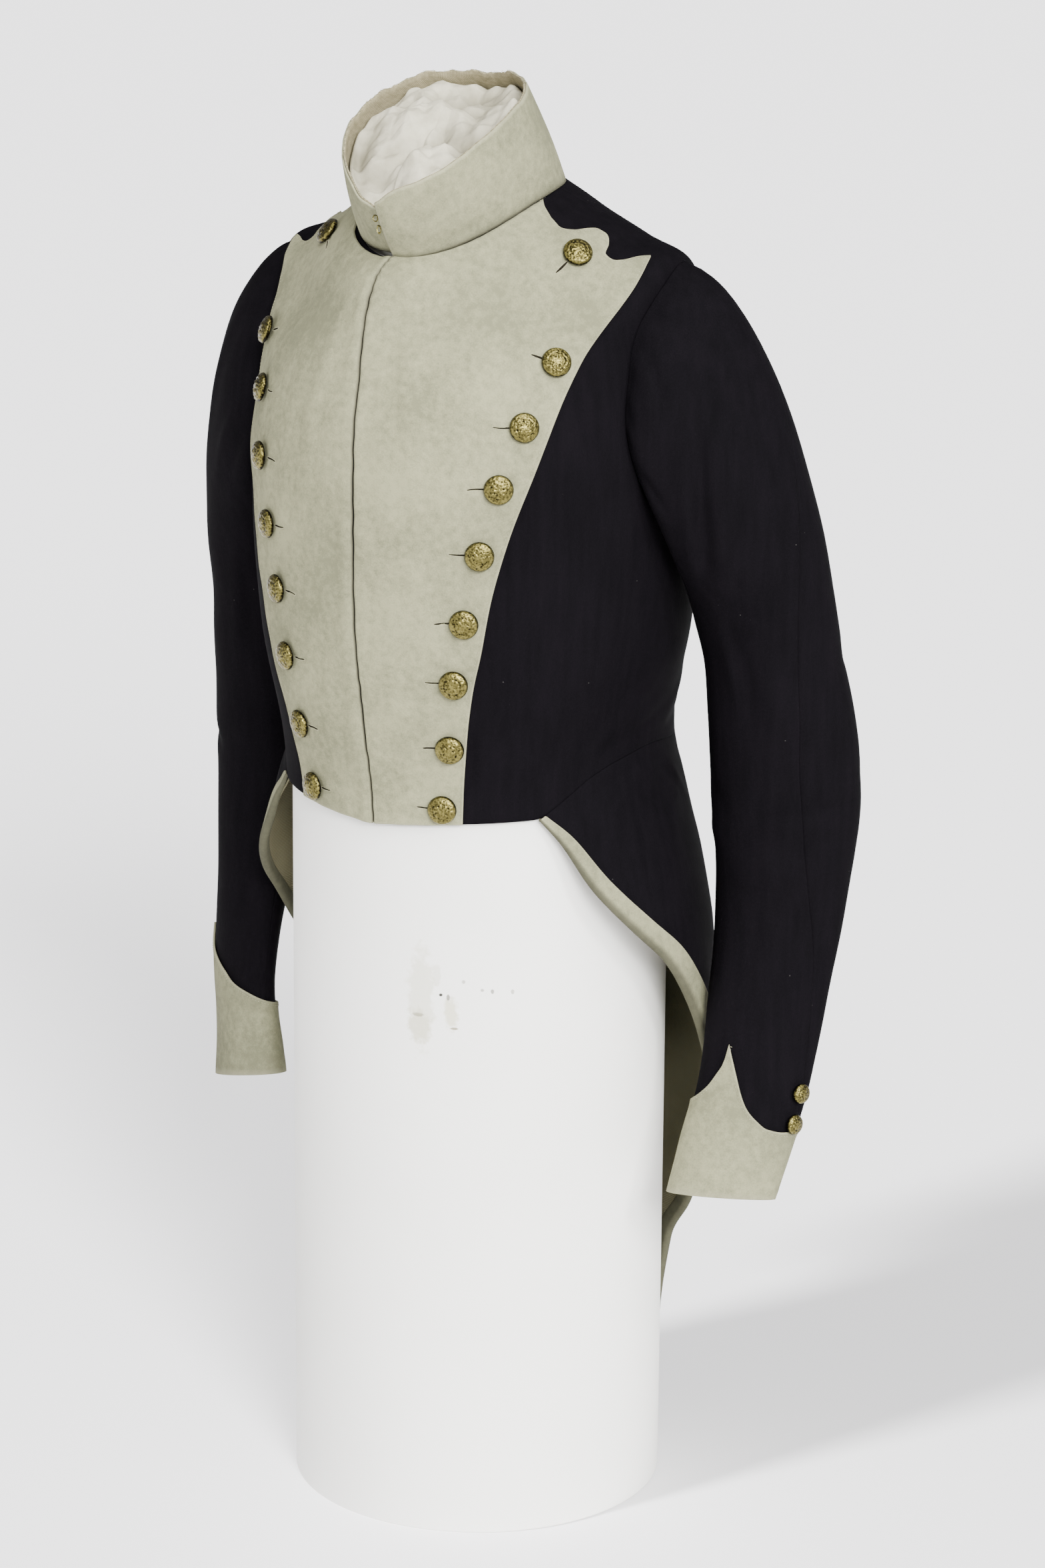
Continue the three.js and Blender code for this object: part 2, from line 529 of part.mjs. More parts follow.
const underAngle = (side, share, along) => lerp(
  sleeveSeam(side, 'hind', along) + sleeveHalfSeam,
  sleeveSeam(side, 'fore', along) + 360 - sleeveHalfSeam,
  share,
);
function sleeveNormal(side, angle, along) {
  const step = 0.02;
  const around = sleevePoint(side, angle + 1, along).sub(sleevePoint(side, angle - 1, along));
  const low = Math.max(along - step, -1);
  const high = Math.min(along + step, sleeveEnd);
  const down = sleevePoint(side, angle, high).sub(sleevePoint(side, angle, low));
  return down.cross(around).normalize();
}
const onSleeve = (side, angle, along) => ({
  point: sleevePoint(side, angle, along),
  normal: sleeveNormal(side, angle, along),
});
const wristOf = (side) => sleeveSections[side][sleeveEnd].z;
const sectionAtHeight = (side, height) => {
  const numbered = sleeveSections[side].map((row, index) => ({ z: row.z, index }));
  return atValue(numbered, 'z', 'index', wristOf(side) + height);
};

// Rows of a sleeve piece: level ones down to the cuff, then the cuff's own lines, from its
// pointed top edge to the wrist. The cuff is made from those same points moved out.
function cuffRow(side, angleAt, shares, down) {
  return shares.map((share) => {
    const round = angleAt(side, share, sleeveEnd) % 360;
    const height = atValue(cuffTop[side], 'angle', 'height', round);
    const along = down > 1
      ? lerp(sectionAtHeight(side, height), aboveCuff, down - 1)
      : sectionAtHeight(side, down * height);
    return onSleeve(side, angleAt(side, share, along), along);
  });
}
const sleeveGrid = (side, angleAt) => [
  ...sleeveAlongs.map((along) => topShares.map((share) => onSleeve(side, angleAt(side, share, along), along))),
  ...[aboveShare, ...cuffShares].map((down) => cuffRow(side, angleAt, topShares, down)),
];
const cuffBelow = 2.5;           // how far the cuff reaches below the sleeve's end
function cuffGrid(side) {
  const shares = topShares.slice(0, -1);
  const rows = cuffShares.map((down) =>
    [...cuffRow(side, topAngle, shares, down), ...cuffRow(side, underAngle, shares, down)]);
  const [above, end] = rows.slice(-2);
  rows[rows.length - 1] = end.map(({ point, normal }, column) => {
    const along = point.clone().sub(above[column].point).normalize();
    return { point: point.clone().addScaledVector(along, cuffBelow), normal };
  });
  return rows;
}
for (const side of ['left', 'right']) {
  const placed = (geometry) => (side === 'left' ? geometry : mirrored(geometry));
  add(`sleeve_top_${side}`, placed(wall(sleeveGrid(side, topAngle), 0, clothWall)), 'navy');
  add(`sleeve_under_${side}`, placed(wall(sleeveGrid(side, underAngle), 0, clothWall)), 'navy');
  add(`cuff_${side}`, placed(wall(cuffGrid(side), seamGap + facingWall, facingWall, true)), 'facing');
}

// ---- buttons ----
const shankRadius = 1.5;
const buttonSides = 8;
const backShare = 0.8;           // flat back's radius as a share of the button's
const sightStart = 20;           // how far out a button's place is looked for
// A domed button with a flat back; a shank reaches down from it where one is given.
function button(radius, shank) {
  const dome = [[backShare, 0], [1, 0.17], [0.84, 0.4], [0.46, 0.56], [0, 0.61]].map(([r, h]) => [r * radius, h * radius]);
  const back = shank > 0 ? [[0, -shank], [shankRadius, -shank], [shankRadius, 0]] : [[0, 0]];
  return new THREE.LatheGeometry([...back, ...dome].map(([r, h]) => new THREE.Vector2(r, h)), buttonSides);
}

// Place for a round foot on the outer faces of the named pieces that carry it: it clears
// the highest of nine spots under the foot by the seat.
const sight = new THREE.Raycaster();
const footSpots = [[0, 0], ...spread(0, 315, 7).map((a) => [Math.cos(degrees(a)), Math.sin(degrees(a))])];
function seated(carriers, point, facing, foot, seat) {
  const across = new THREE.Vector3(0, 0, 1).cross(facing).normalize().multiplyScalar(foot);
  const up = facing.clone().cross(across);
  const solids = carriers.map((name) => coat.getObjectByName(name));
  const heights = footSpots.map(([a, b]) => {
    const start = point.clone().addScaledVector(across, a).addScaledVector(up, b);
    sight.set(start.addScaledVector(facing, sightStart), facing.clone().negate());
    const [hit] = sight.intersectObjects(solids);
    return hit ? sightStart - hit.distance : -sightStart;
  });
  return point.clone().addScaledVector(facing, Math.max(...heights) + seat);
}
function addButton(name, radius, carriers, point, normal, turnedOver, shank = 0) {
  const mesh = add(name, button(radius, shank), 'brass');
  const facing = normal.clone();
  if (turnedOver) facing.x *= -1;
  const place = turnedOver ? overPoint(point) : point;
  const foot = shank > 0 ? shankRadius : backShare * radius;
  mesh.position.copy(seated(carriers, place, facing, foot, seamGap + shank));
  mesh.quaternion.setFromUnitVectors(new THREE.Vector3(0, 1, 0), facing);
}
for (const side of ['left', 'right']) {
  lapelButtonPlaces[side].forEach(({ level, angle }, index) => {
    const normal = bodyNormal(angle, level);
    addButton(`lapel_button_${side}_${index + 1}`, lapelButtonRadius, [`lapel_${side}`],
      bodyPoint(angle, level), normal, side === 'right');
  });
}
const cuffButtonHeights = { left: [73, 50], right: [82, 64] };
const cuffButtonTurn = { left: 8.5, right: 2 };   // degrees in front of the hind-arm seam
const cuffShank = 2.4;           // lifts the buttons clear of the cuff's edge
for (const side of ['left', 'right']) {
  cuffButtonHeights[side].forEach((height, index) => {
    const along = sectionAtHeight(side, height);
    const { point, normal } = onSleeve(side, sleeveSeam(side, 'hind', along) - cuffButtonTurn[side], along);
    addButton(`cuff_button_${side}_${index + 1}`, cuffButtonRadius, [`sleeve_top_${side}`, `cuff_${side}`],
      point, normal, side === 'right', cuffShank);
  });
}
const hipButton = { angle: 166, level: 2.05 };
for (const side of ['left', 'right']) {
  const normal = bodyNormal(hipButton.angle, hipButton.level);
  addButton(`hip_button_${side}`, lapelButtonRadius, [`back_${side}`], bodyPoint(hipButton.angle, hipButton.level),
    normal, side === 'right');
}

// ---- hook and eye of the collar, and the hook at the left of the waist ----
function addLoop(name, size, place, facing) {
  const loop = new THREE.TorusGeometry(size.half, size.wire, 4, 9).scale(1, size.stretch, 1);
  const mesh = add(name, loop, 'brass');
  mesh.position.copy(place);
  mesh.quaternion.setFromUnitVectors(new THREE.Vector3(0, 0, 1), facing);
}
const onCollar = (angle, up, lift) => {
  const facing = new THREE.Vector3(Math.sin(degrees(angle)), -Math.cos(degrees(angle)), 0);
  return { place: collarPoint(angle, up).addScaledVector(facing, lift), facing };
};
const collarEye = onCollar(355, 0.8, 1.3);
const collarHook = onCollar(355, 0.55, 2.1);
addLoop('collar_eye', { half: 2.2, wire: 0.45, stretch: 1 }, collarEye.place, collarEye.facing);
addLoop('collar_hook', { half: 1.7, wire: 0.45, stretch: 1.6 }, collarHook.place, collarHook.facing);
const waistHook = { angle: 107, level: 1.45 };
const hookNormal = bodyNormal(waistHook.angle, waistHook.level);
addLoop('waist_hook_left', { half: 2, wire: 0.5, stretch: 1.4 },
  seated(['tail_left'], bodyPoint(waistHook.angle, waistHook.level), hookNormal, 2.8, seamGap + 0.5), hookNormal);

// ---- the stand ----
function loft(loops, bottom, top) {
  const count = loops[0].length;
  const positions = [bottom, ...loops.flat(), top].flatMap((p) => [p.x, p.y, p.z]);
  const faces = [];
  const id = (i, j) => 1 + i * count + (j % count);
  const topId = 1 + loops.length * count;
  for (let j = 0; j < count; j += 1) {
    faces.push(0, id(0, j + 1), id(0, j));
    faces.push(topId, id(loops.length - 1, j), id(loops.length - 1, j + 1));
    for (let i = 0; i < loops.length - 1; i += 1) {
      faces.push(id(i, j), id(i, j + 1), id(i + 1, j + 1), id(i, j), id(i + 1, j + 1), id(i + 1, j));
    }
  }
  return outward(positions, faces);
}
const cylinderProfile = [[0, 0], [cylinderRadius - 1.5, 0], [cylinderRadius, 1.5],
  [cylinderRadius, cylinderTop - 1.5], [cylinderRadius - 1.5, cylinderTop], [0, cylinderTop]];
const cylinder = new THREE.LatheGeometry(cylinderProfile.map(([r, h]) => new THREE.Vector2(r, h)), 48);
add('stand_cylinder', cylinder.rotateX(Math.PI / 2), 'stand');

const formAngles = spread(0, 345, 23);
const formLevels = [0.74, 1.6, 3, 4.4, 5.6, 6.8, 8, 9, 9.9, 10.8, 11.6, 12.2, 12.8];
const shoulderSpot = { angle: 105, level: 10.8 };
const isShoulder = (angle, level) =>
  level === shoulderSpot.level && (angle === shoulderSpot.angle || angle === 360 - shoulderSpot.angle);
const formLoops = formLevels.map((level) => formAngles.map((angle) => {
  const slack = lerp(formSlack, shoulderSlack, smoothStep(level, 8.5, 10.5));
  const clear = isShoulder(angle, level) ? shoulderRest : slack;
  const p = bodyPoint(angle, level).addScaledVector(bodyNormal(angle, level), -clothWall - clear);
  if (level === formLevels[0]) p.z = cylinderTop + seamGap;
  return p.x < 0 ? overPoint(p.multiply(new THREE.Vector3(-1, 1, 1))) : p;
}));
const formTop = new THREE.Vector3(0, -30, 968);
const formBottom = new THREE.Vector3(0, 0, cylinderTop + seamGap);
add('stand_form', loft(formLoops, formBottom, formTop), 'stand');

const raised = (loop, by) => loop.map((p) => p.clone().add(new THREE.Vector3(0, 0, by)));
const shrunk = (loop, centre, keep) => loop.map((p) => centre.clone().lerp(p, keep));
const neckLoop = (up, inset) => formAngles.map((angle) => {
  const out = new THREE.Vector3(Math.sin(degrees(angle)), -Math.cos(degrees(angle)), 0);
  return collarPoint(angle < 1 ? 359.9 : angle, up).addScaledVector(out, -inset);
});
const neckCrown = new THREE.Vector3(0, -58, 1037);
const neckFoot = shrunk(raised(formLoops[formLoops.length - 1], seamGap), formTop, 0.84);
const neckLoops = [neckFoot, neckLoop(0.3, 9), neckLoop(0.6, 6.5), neckLoop(0.84, 5.2),
  shrunk(raised(neckLoop(0.88, 5.2), 1.5), neckCrown, 0.72), shrunk(raised(neckLoop(0.9, 5.2), 3), neckCrown, 0.35)];
add('stand_neck', loft(neckLoops, formTop.clone().add(new THREE.Vector3(0, 0, seamGap)), neckCrown), 'stuffing');

export default coat;
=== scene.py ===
import math

import bmesh
import bpy
import numpy as np
from mathutils import Matrix, Vector


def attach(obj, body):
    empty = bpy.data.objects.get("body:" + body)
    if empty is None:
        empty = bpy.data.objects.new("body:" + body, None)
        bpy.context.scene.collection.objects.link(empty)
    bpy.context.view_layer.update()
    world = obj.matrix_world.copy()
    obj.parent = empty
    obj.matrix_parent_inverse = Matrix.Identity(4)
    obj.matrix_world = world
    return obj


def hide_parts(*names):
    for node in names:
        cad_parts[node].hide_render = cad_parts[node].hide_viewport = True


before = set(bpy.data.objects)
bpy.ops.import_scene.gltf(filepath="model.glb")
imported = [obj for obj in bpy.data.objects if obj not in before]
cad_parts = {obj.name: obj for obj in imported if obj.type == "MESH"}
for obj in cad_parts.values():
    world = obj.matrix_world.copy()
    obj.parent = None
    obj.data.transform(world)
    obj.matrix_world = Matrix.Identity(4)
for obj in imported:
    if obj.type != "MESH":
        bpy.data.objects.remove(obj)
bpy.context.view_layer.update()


# ---- camera ----
# A long lens a little above the collar, looking down at the wearer's left front.
camera_turn, camera_fall = math.radians(32.77), math.radians(15.048)
camera_swing, camera_roll = math.radians(0.5654), math.radians(0.4786)
forward = Vector((
    math.sin(camera_swing) * math.cos(camera_fall),
    math.cos(camera_swing) * math.cos(camera_fall),
    -math.sin(camera_fall),
))
level_right = Vector((math.cos(camera_swing), -math.sin(camera_swing), 0))
level_up = level_right.cross(forward)
right = math.cos(camera_roll) * level_right + math.sin(camera_roll) * level_up
up = math.cos(camera_roll) * level_up - math.sin(camera_roll) * level_right
lens = bpy.data.cameras.new("studio_lens")
lens.lens = 100
lens.sensor_fit = 'VERTICAL'
lens.sensor_height = 36
lens.clip_end = 100


def add_object(name, data):
    """Puts a new object in the scene."""
    made = bpy.data.objects.new(name, data)
    bpy.context.collection.objects.link(made)
    return made


camera = add_object("studio_camera", lens)
axes = Matrix((right, up, -forward)).transposed().to_4x4()
axes.translation = Vector((0, -3.1308, 1.3832))
camera.matrix_world = Matrix.Rotation(camera_turn, 4, 'Z') @ axes
bpy.context.scene.camera = camera


# ---- studio ----
# A pale seamless floor and an even pale room. Three soft keys from the front and one broad light
# overhead light the coat alone, two more lights lay its shadows on the floor alone, and a small
# lamp stands low on the left.
def linear(code):
    """sRGB hex to linear RGBA."""
    parts = [int(code[k:k + 2], 16) / 255 for k in (1, 3, 5)]
    return tuple(v / 12.92 if v <= 0.04045 else ((v + 0.055) / 1.055) ** 2.4 for v in parts) + (1,)


def add_node(tree, kind, links=None, **settings):
    """Adds a node, gives it its settings, and fills its inputs with values or other nodes' outputs."""
    made = tree.nodes.new(kind)
    for key, value in settings.items():
        setattr(made, key, value)
    for key, value in (links or {}).items():
        if isinstance(value, bpy.types.NodeSocket):
            tree.links.new(value, made.inputs[key])
        else:
            made.inputs[key].default_value = value
    return made


def new_material(name):
    """A new material, its tree, its shader and the output of the object's own coordinates."""
    made = bpy.data.materials.new(name)
    made.use_nodes = True
    tree = made.node_tree
    place = add_node(tree, 'ShaderNodeTexCoord').outputs["Object"]
    return made, tree, tree.nodes["Principled BSDF"], place


paper, tree, shader, place = new_material("seamless_paper")
shader.inputs["Base Color"].default_value = linear("#efeeef")
shader.inputs["Roughness"].default_value = 0.95
shader.inputs["Specular IOR Level"].default_value = 0.1
floor_mesh = bpy.data.meshes.new("floor")
floor_mesh.from_pydata([(-30, -30, 0), (30, -30, 0), (30, 30, 0), (-30, 30, 0)], [], [(0, 1, 2, 3)])
floor = add_object("floor", floor_mesh)
floor.data.materials.append(paper)

floor_only = bpy.data.collections.new("floor_only")
floor_only.objects.link(floor)
all_but_floor = bpy.data.collections.new("all_but_floor")
all_but_floor.objects.link(floor)
all_but_floor.collection_objects[0].light_linking.link_state = 'EXCLUDE'
# Lamp, the way its light travels, its strength and softness, and what it lights.
for name, toward, power, spread, lit in (
    ("key_front", (-0.60, 0.68, -0.42), 3.4, 0.26, all_but_floor),
    ("key_middle", (-0.720, 0.535, -0.440), 3.4, 0.26, all_but_floor),
    ("key_side", (-0.82, 0.235, -0.525), 2.6, 0.20, all_but_floor),
    ("overhead", (-0.35, 0.30, -1), 4.2, 0.9, all_but_floor),
    ("floor_from_right", (-0.66, 0.60, -0.40), 10.5, 0.34, floor_only),
    ("floor_from_left", (0.36, 0.845, -0.40), 12.5, 0.16, floor_only),
):
    lamp = bpy.data.lights.new(name, 'SUN')
    lamp.energy = power
    lamp.angle = spread
    holder = add_object(name, lamp)
    holder.rotation_euler = Vector(toward).to_track_quat('-Z', 'Y').to_euler()
    holder.light_linking.receiver_collection = lit
side_lamp = bpy.data.lights.new("low_left", 'AREA')
side_lamp.size = 0.45
side_lamp.energy = 45
side_holder = add_object("low_left", side_lamp)
side_holder.location = (-1.5, -3.5, 1.9)
side_holder.rotation_euler = Vector((1.5, 3.5, -1.3)).to_track_quat('-Z', 'Y').to_euler()
room = bpy.data.worlds.new("room")
room.use_nodes = True
room.node_tree.nodes["Background"].inputs["Color"].default_value = linear("#f0f0f4")
room.node_tree.nodes["Background"].inputs["Strength"].default_value = 0.42
bpy.context.scene.world = room


# ---- fronts ----
# The two fronts are navy broadcloth, cut from the centre round to the side-back seam, with
# half the armhole and half the shoulder in each. They are sewn to the backs and the tails.

# Sections of the coat's body from hem to collar seam, in millimetres. Each row gives five
# heights round half the body, three widths and five depths.
body_sections = np.array([
    [540, 540, 540, 540, 540, 102.2, 144.5, 102.2, -144.5, -102.2, 0, 102.2, 144.5],
    [570, 570, 570, 570, 570, 102.6, 144.5, 102.0, -145.5, -103.0, 0, 102.0, 144.0],
    [600, 600, 600, 600, 600, 106.0, 144.6, 100.8, -150.5, -106.0, 0, 100.8, 142.0],
    [640, 640, 640, 640, 640, 112.0, 152.0, 104.0, -156.0, -111.5, 0, 104.0, 143.0],
    [670, 670, 670, 670, 670, 115.0, 158.0, 107.0, -158.5, -114.5, 0, 107.0, 144.0],
    [720, 720, 720, 720, 720, 117.5, 163.5, 109.0, -161.5, -117.0, 0, 107.5, 142.0],
    [765, 765, 765, 765, 765, 118.5, 166.5, 111.0, -164.0, -118.0, 0, 106.0, 138.0],
    [805, 805, 805, 805, 805, 118.5, 167.0, 113.0, -165.5, -118.0, 0, 103.5, 132.0],
    [845, 845, 845, 845, 845, 115.0, 163.5, 113.5, -162.0, -112.0, 0, 99.0, 126.0],
    [885, 878, 905, 886, 896, 112.0, 161.0, 113.0, -150.5, -101.0, -2, 94.0, 117.0],
    [915, 912, 946, 922, 938, 110.0, 163.0, 110.0, -138.5, -76.0, 0, 84.0, 106.0],
    [932, 934, 960, 955, 966, 90.0, 130.0, 90.0, -129.5, -79.0, -6, 63.0, 92.0],
    [941, 949, 973, 975, 982, 69.0, 98.0, 69.0, -121.5, -84.0, -17, 46.0, 75.0],
    [947, 961, 985.7, 992, 995, 48.6, 68.8, 48.6, -114.0, -89.0, -28.6, 31.7, 56.7],
])
neck_level = 13
cloth_wall, facing_wall, lining_wall, seam_gap = 1.8, 1.5, 1.2, 0.3
half_seam = 0.055  # in degrees round the body
waist_line = np.array([[0, 0.18], [28, 0.34], [49.9, 0.42], [57.8, 0.87], [65.9, 1.34], [76.2, 1.64],
                       [91.2, 1.8], [113, 1.62], [180, 1.62]])
cutaway_angle = 49.9
side_back_seam = np.array([[0, 162], [1.6, 161], [2.5, 156], [3.5, 146], [4.5, 130], [5.2, 113], [5.6, 101],
                           [5.85, 93]])
shoulder_seam = np.array([[9.95, 93], [11, 100], [12, 105], [13, 108]])
armhole_angle, armhole_front, armhole_back, armhole_level, armhole_reach = 93, 23.5, 24, 7.9, 2.05


def hermite(start, slope_a, end, slope_b, f):
    return ((2 * f ** 3 - 3 * f ** 2 + 1) * start + (f ** 3 - 2 * f ** 2 + f) * slope_a
            + (3 * f ** 2 - 2 * f ** 3) * end + (f ** 3 - f ** 2) * slope_b)


def between_rows(rows, position):
    """A table's row at a section number that may fall between two of them."""
    last = len(rows) - 1
    i = np.clip(np.floor(position), 0, last - 1).astype(int)
    f = (position - i)[..., None]
    start, end = rows[i], rows[i + 1]
    inside_a, inside_b = (i > 0)[..., None], (i < last - 1)[..., None]
    slope_a = np.where(inside_a, (end - rows[np.maximum(i - 1, 0)]) / 2, end - start)
    slope_b = np.where(inside_b, (rows[np.minimum(i + 2, last)] - start) / 2, end - start)
    return hermite(start, slope_a, end, slope_b, f)


def flowing(table, x, corners=()):
    """A smooth line through a table's points that never overshoots; corners stay sharp."""
    x = np.asarray(x, float)
    value = np.zeros_like(x)
    stops = [table[0, 0], *corners, table[-1, 0]]
    for k in range(len(stops) - 1):
        part = table[(table[:, 0] >= stops[k] - 1e-9) & (table[:, 0] <= stops[k + 1] + 1e-9)]
        xs, ys = part[:, 0], part[:, 1]
        step = np.diff(xs)
        rise = np.diff(ys) / step
        slopes = np.concatenate([rise[:1], rise[1:], rise[-1:]])
        for n in range(1, len(rise)):
            before, after = rise[n - 1], rise[n]
            near, far = 2 * step[n] + step[n - 1], step[n] + 2 * step[n - 1]
            slopes[n] = (near + far) / (near / before + far / after) if before * after > 0 else 0
        here = np.clip(x, xs[0], xs[-1])
        i = np.clip(np.searchsorted(xs, here, side='right') - 1, 0, len(step) - 1)
        f = (here - xs[i]) / step[i]
        line = hermite(ys[i], slopes[i] * step[i], ys[i + 1], slopes[i + 1] * step[i], f)
        first, final = k == 0, k == len(stops) - 2
        mine = ((x >= stops[k]) | first) & ((x < stops[k + 1]) | final)
        value = np.where(mine, line, value)
    return value


def smooth(x, low, high):
    f = np.clip((np.asarray(x, float) - low) / (high - low), 0, 1)
    return f * f * (3 - 2 * f)


stations = np.arange(5)
ends_half = np.where(stations % 4 == 0, 0.5, 1.0)
even_waves = ((ends_half[:, None] / 2) * ends_half[None, :]
              * np.cos(math.pi * np.outer(stations, stations) / 4))
odd_waves = 0.5 * np.sin(math.pi * np.outer(stations[1:4], stations[1:4]) / 4)


def body(angle, level):
    """The coat's outer surface: angle in degrees round from the centre front, level up from the hem."""
    angle, level = np.broadcast_arrays(np.radians(angle), np.asarray(level, float))
    row = between_rows(body_sections, level)
    turns = angle[..., None] * stations
    x = ((row[..., 5:8] @ odd_waves.T) * np.sin(turns[..., 1:4])).sum(-1)
    y = ((row[..., 8:13] @ even_waves.T) * np.cos(turns)).sum(-1)
    z = ((row[..., 0:5] @ even_waves.T) * np.cos(turns)).sum(-1)
    return np.stack([x, y, z], -1)


def unit(vectors):
    return vectors / np.maximum(np.linalg.norm(vectors, axis=-1, keepdims=True), 1e-9)


def body_normal(angle, level):
    angle, level = np.broadcast_arrays(np.asarray(angle, float), np.asarray(level, float))
    low = np.clip(level - 0.05, 0, neck_level - 0.1)
    around = body(angle + 0.5, level) - body(angle - 0.5, level)
    return unit(np.cross(around, body(angle, low + 0.1) - body(angle, low)))


def turned_over(points):
    """The right half of the coat; its shoulder hangs a little lower."""
    fall = 9 * smooth(points[..., 0], 60, 150) * smooth(points[..., 2], 860, 945)
    return np.stack([-points[..., 0], points[..., 1], points[..., 2] - fall], -1)


def on_side(side, points, normals):
    if side == "left":
        return points, normals
    return turned_over(points), normals * [-1, 1, 1]


def waist_level(angle):
    return flowing(waist_line, np.abs(angle), corners=(cutaway_angle,))


def armhole_half(level, width):
    f = np.clip((level - armhole_level) / armhole_reach, -1, 1)
    return width * np.sqrt(1 - f * f)


armhole_low, armhole_high = armhole_level - armhole_reach, armhole_level + armhole_reach


def panel_edge(level, width, way):
    """Edge of a front (way -1) or a back (way 1): side seam, armhole and shoulder seam."""
    edge = np.where(level <= armhole_low, flowing(side_back_seam, level),
                    np.where(level < armhole_high, armhole_angle + way * armhole_half(level, width),
                             flowing(shoulder_seam, level)))
    return edge + way * half_seam


def lowered_to_waist(angle, row):
    """Levels for a grid whose lowest rows bend down to the waist line."""
    base = waist_level(angle)
    return np.where(row < 3, base + (3 - base) * row / 3, row)


def creased(points, surface, creases):
    """Height of soft ridges and troughs, each laid along a line between two places on the cloth."""
    height = np.zeros(points.shape[:-1])
    share = np.linspace(0, 1, 7)
    for from_u, from_v, to_u, to_v, width, rise in creases:
        line = surface(from_u + (to_u - from_u) * share, from_v + (to_v - from_v) * share)
        nearest = np.full(points.shape[:-1], 1e9)
        along = np.zeros(points.shape[:-1])
        for k in range(6):
            run = line[k + 1] - line[k]
            t = np.clip(((points - line[k]) @ run) / (run @ run), 0, 1)
            gap = ((points - line[k] - t[..., None] * run) ** 2).sum(-1)
            closer = gap < nearest
            nearest = np.where(closer, gap, nearest)
            along = np.where(closer, (k + t) / 6, along)
        height += rise * np.sin(math.pi * np.clip(along, 0.04, 0.96)) ** 0.8 * np.exp(-nearest / width ** 2)
    return height


def unevenness(points):
    """Hand-worn cloth is nowhere quite smooth: slow swells of about half a millimetre."""
    x, y, z = np.moveaxis(points, -1, 0)
    return (0.45 * np.sin(x / 27 + 1.3 * np.sin(z / 47)) * np.sin(z / 36 + 0.9 * np.sin(y / 31))
            + 0.22 * np.sin(z / 13.1 + 1.7 * np.sin(x / 19)) * np.sin(y / 15.3 + x / 22))


# Creases on the body: from and to as angle and level, then width and height in millimetres.
body_creases = [
    (72, 8.3, 78, 6.2, 6, -1.6), (70, 7.4, 73, 5.4, 9, 1.3), (76, 5.9, 92, 5.2, 7, -1.3),
    (60, 6.4, 74, 5.6, 12, 1.0), (80, 4.9, 104, 4.2, 9, -1.1), (84, 4.3, 112, 3.3, 12, 1.1),
    (64, 3.1, 96, 2.7, 9, -0.9), (66, 2.2, 88, 3.0, 6, 1.0), (70, 1.9, 98, 2.5, 5, -1.0),
    (60, 1.7, 78, 2.6, 5, 0.8), (96, 2.1, 120, 2.9, 7, 1.0), (100, 2.0, 126, 2.2, 5, -0.9),
    (58, 9.4, 72, 9.9, 9, -1.0), (66, 9.0, 74, 8.0, 8, 1.2), (140, 9.6, 118, 7.2, 14, 1.4),
    (150, 8.6, 122, 6.6, 10, -1.3), (150, 3.2, 176, 2.5, 8, -0.9), (140, 4.2, 170, 3.4, 11, 1.0),
    (160, 6.8, 178, 7.4, 16, -0.8), (8, 11.8, 16, 6.4, 7, 1.1), (30, 10.9, 14, 12.0, 9, -0.9),
    (40, 10.6, 22, 11.2, 8, 0.8), (20, 2.6, 4, 3.0, 8, 0.7), (22, 1.4, 6, 1.2, 9, -0.8),
    (24, 3.8, 8, 4.3, 8, -0.6), (28, 5.0, 12, 5.5, 9, 0.6), (34, 7.1, 16, 7.6, 10, -0.6),
    (30, 9.2, 16, 8.4, 12, 0.8), (46, 8.6, 30, 8.0, 8, 0.7), (44, 9.6, 26, 9.9, 9, -0.7),
]


def settled(side, points, normals, surface, creases, more=0):
    """The cloth after wear: creases and slow swells along its normals, on the side it belongs to."""
    height = creased(points, surface, creases) + more
    points, normals = on_side(side, points, normals)
    return points + normals * (height + unevenness(points))[..., None], normals


def make_object(name, vertices, faces, material, uv=None, cut_edge=None):
    mesh = bpy.data.meshes.new(name)
    mesh.from_pydata([tuple(v) for v in vertices], [], [tuple(int(k) for k in f) for f in faces])
    if cut_edge is not None:
        held = mesh.attributes.new("cut_edge", 'FLOAT', 'POINT')
        held.data.foreach_set("value", cut_edge.astype(np.float32))
    if uv is not None:
        layer = mesh.uv_layers.new(name="cut")
        corners = np.zeros(len(mesh.loops), dtype=np.int32)
        mesh.loops.foreach_get("vertex_index", corners)
        layer.data.foreach_set("uv", uv[corners].ravel())
    work = bmesh.new()
    work.from_mesh(mesh)
    bmesh.ops.recalc_face_normals(work, faces=work.faces)
    work.to_mesh(mesh)
    work.free()
    mesh.polygons.foreach_set("use_smooth", [True] * len(mesh.polygons))
    mesh.materials.append(material)
    return add_object(name, mesh)


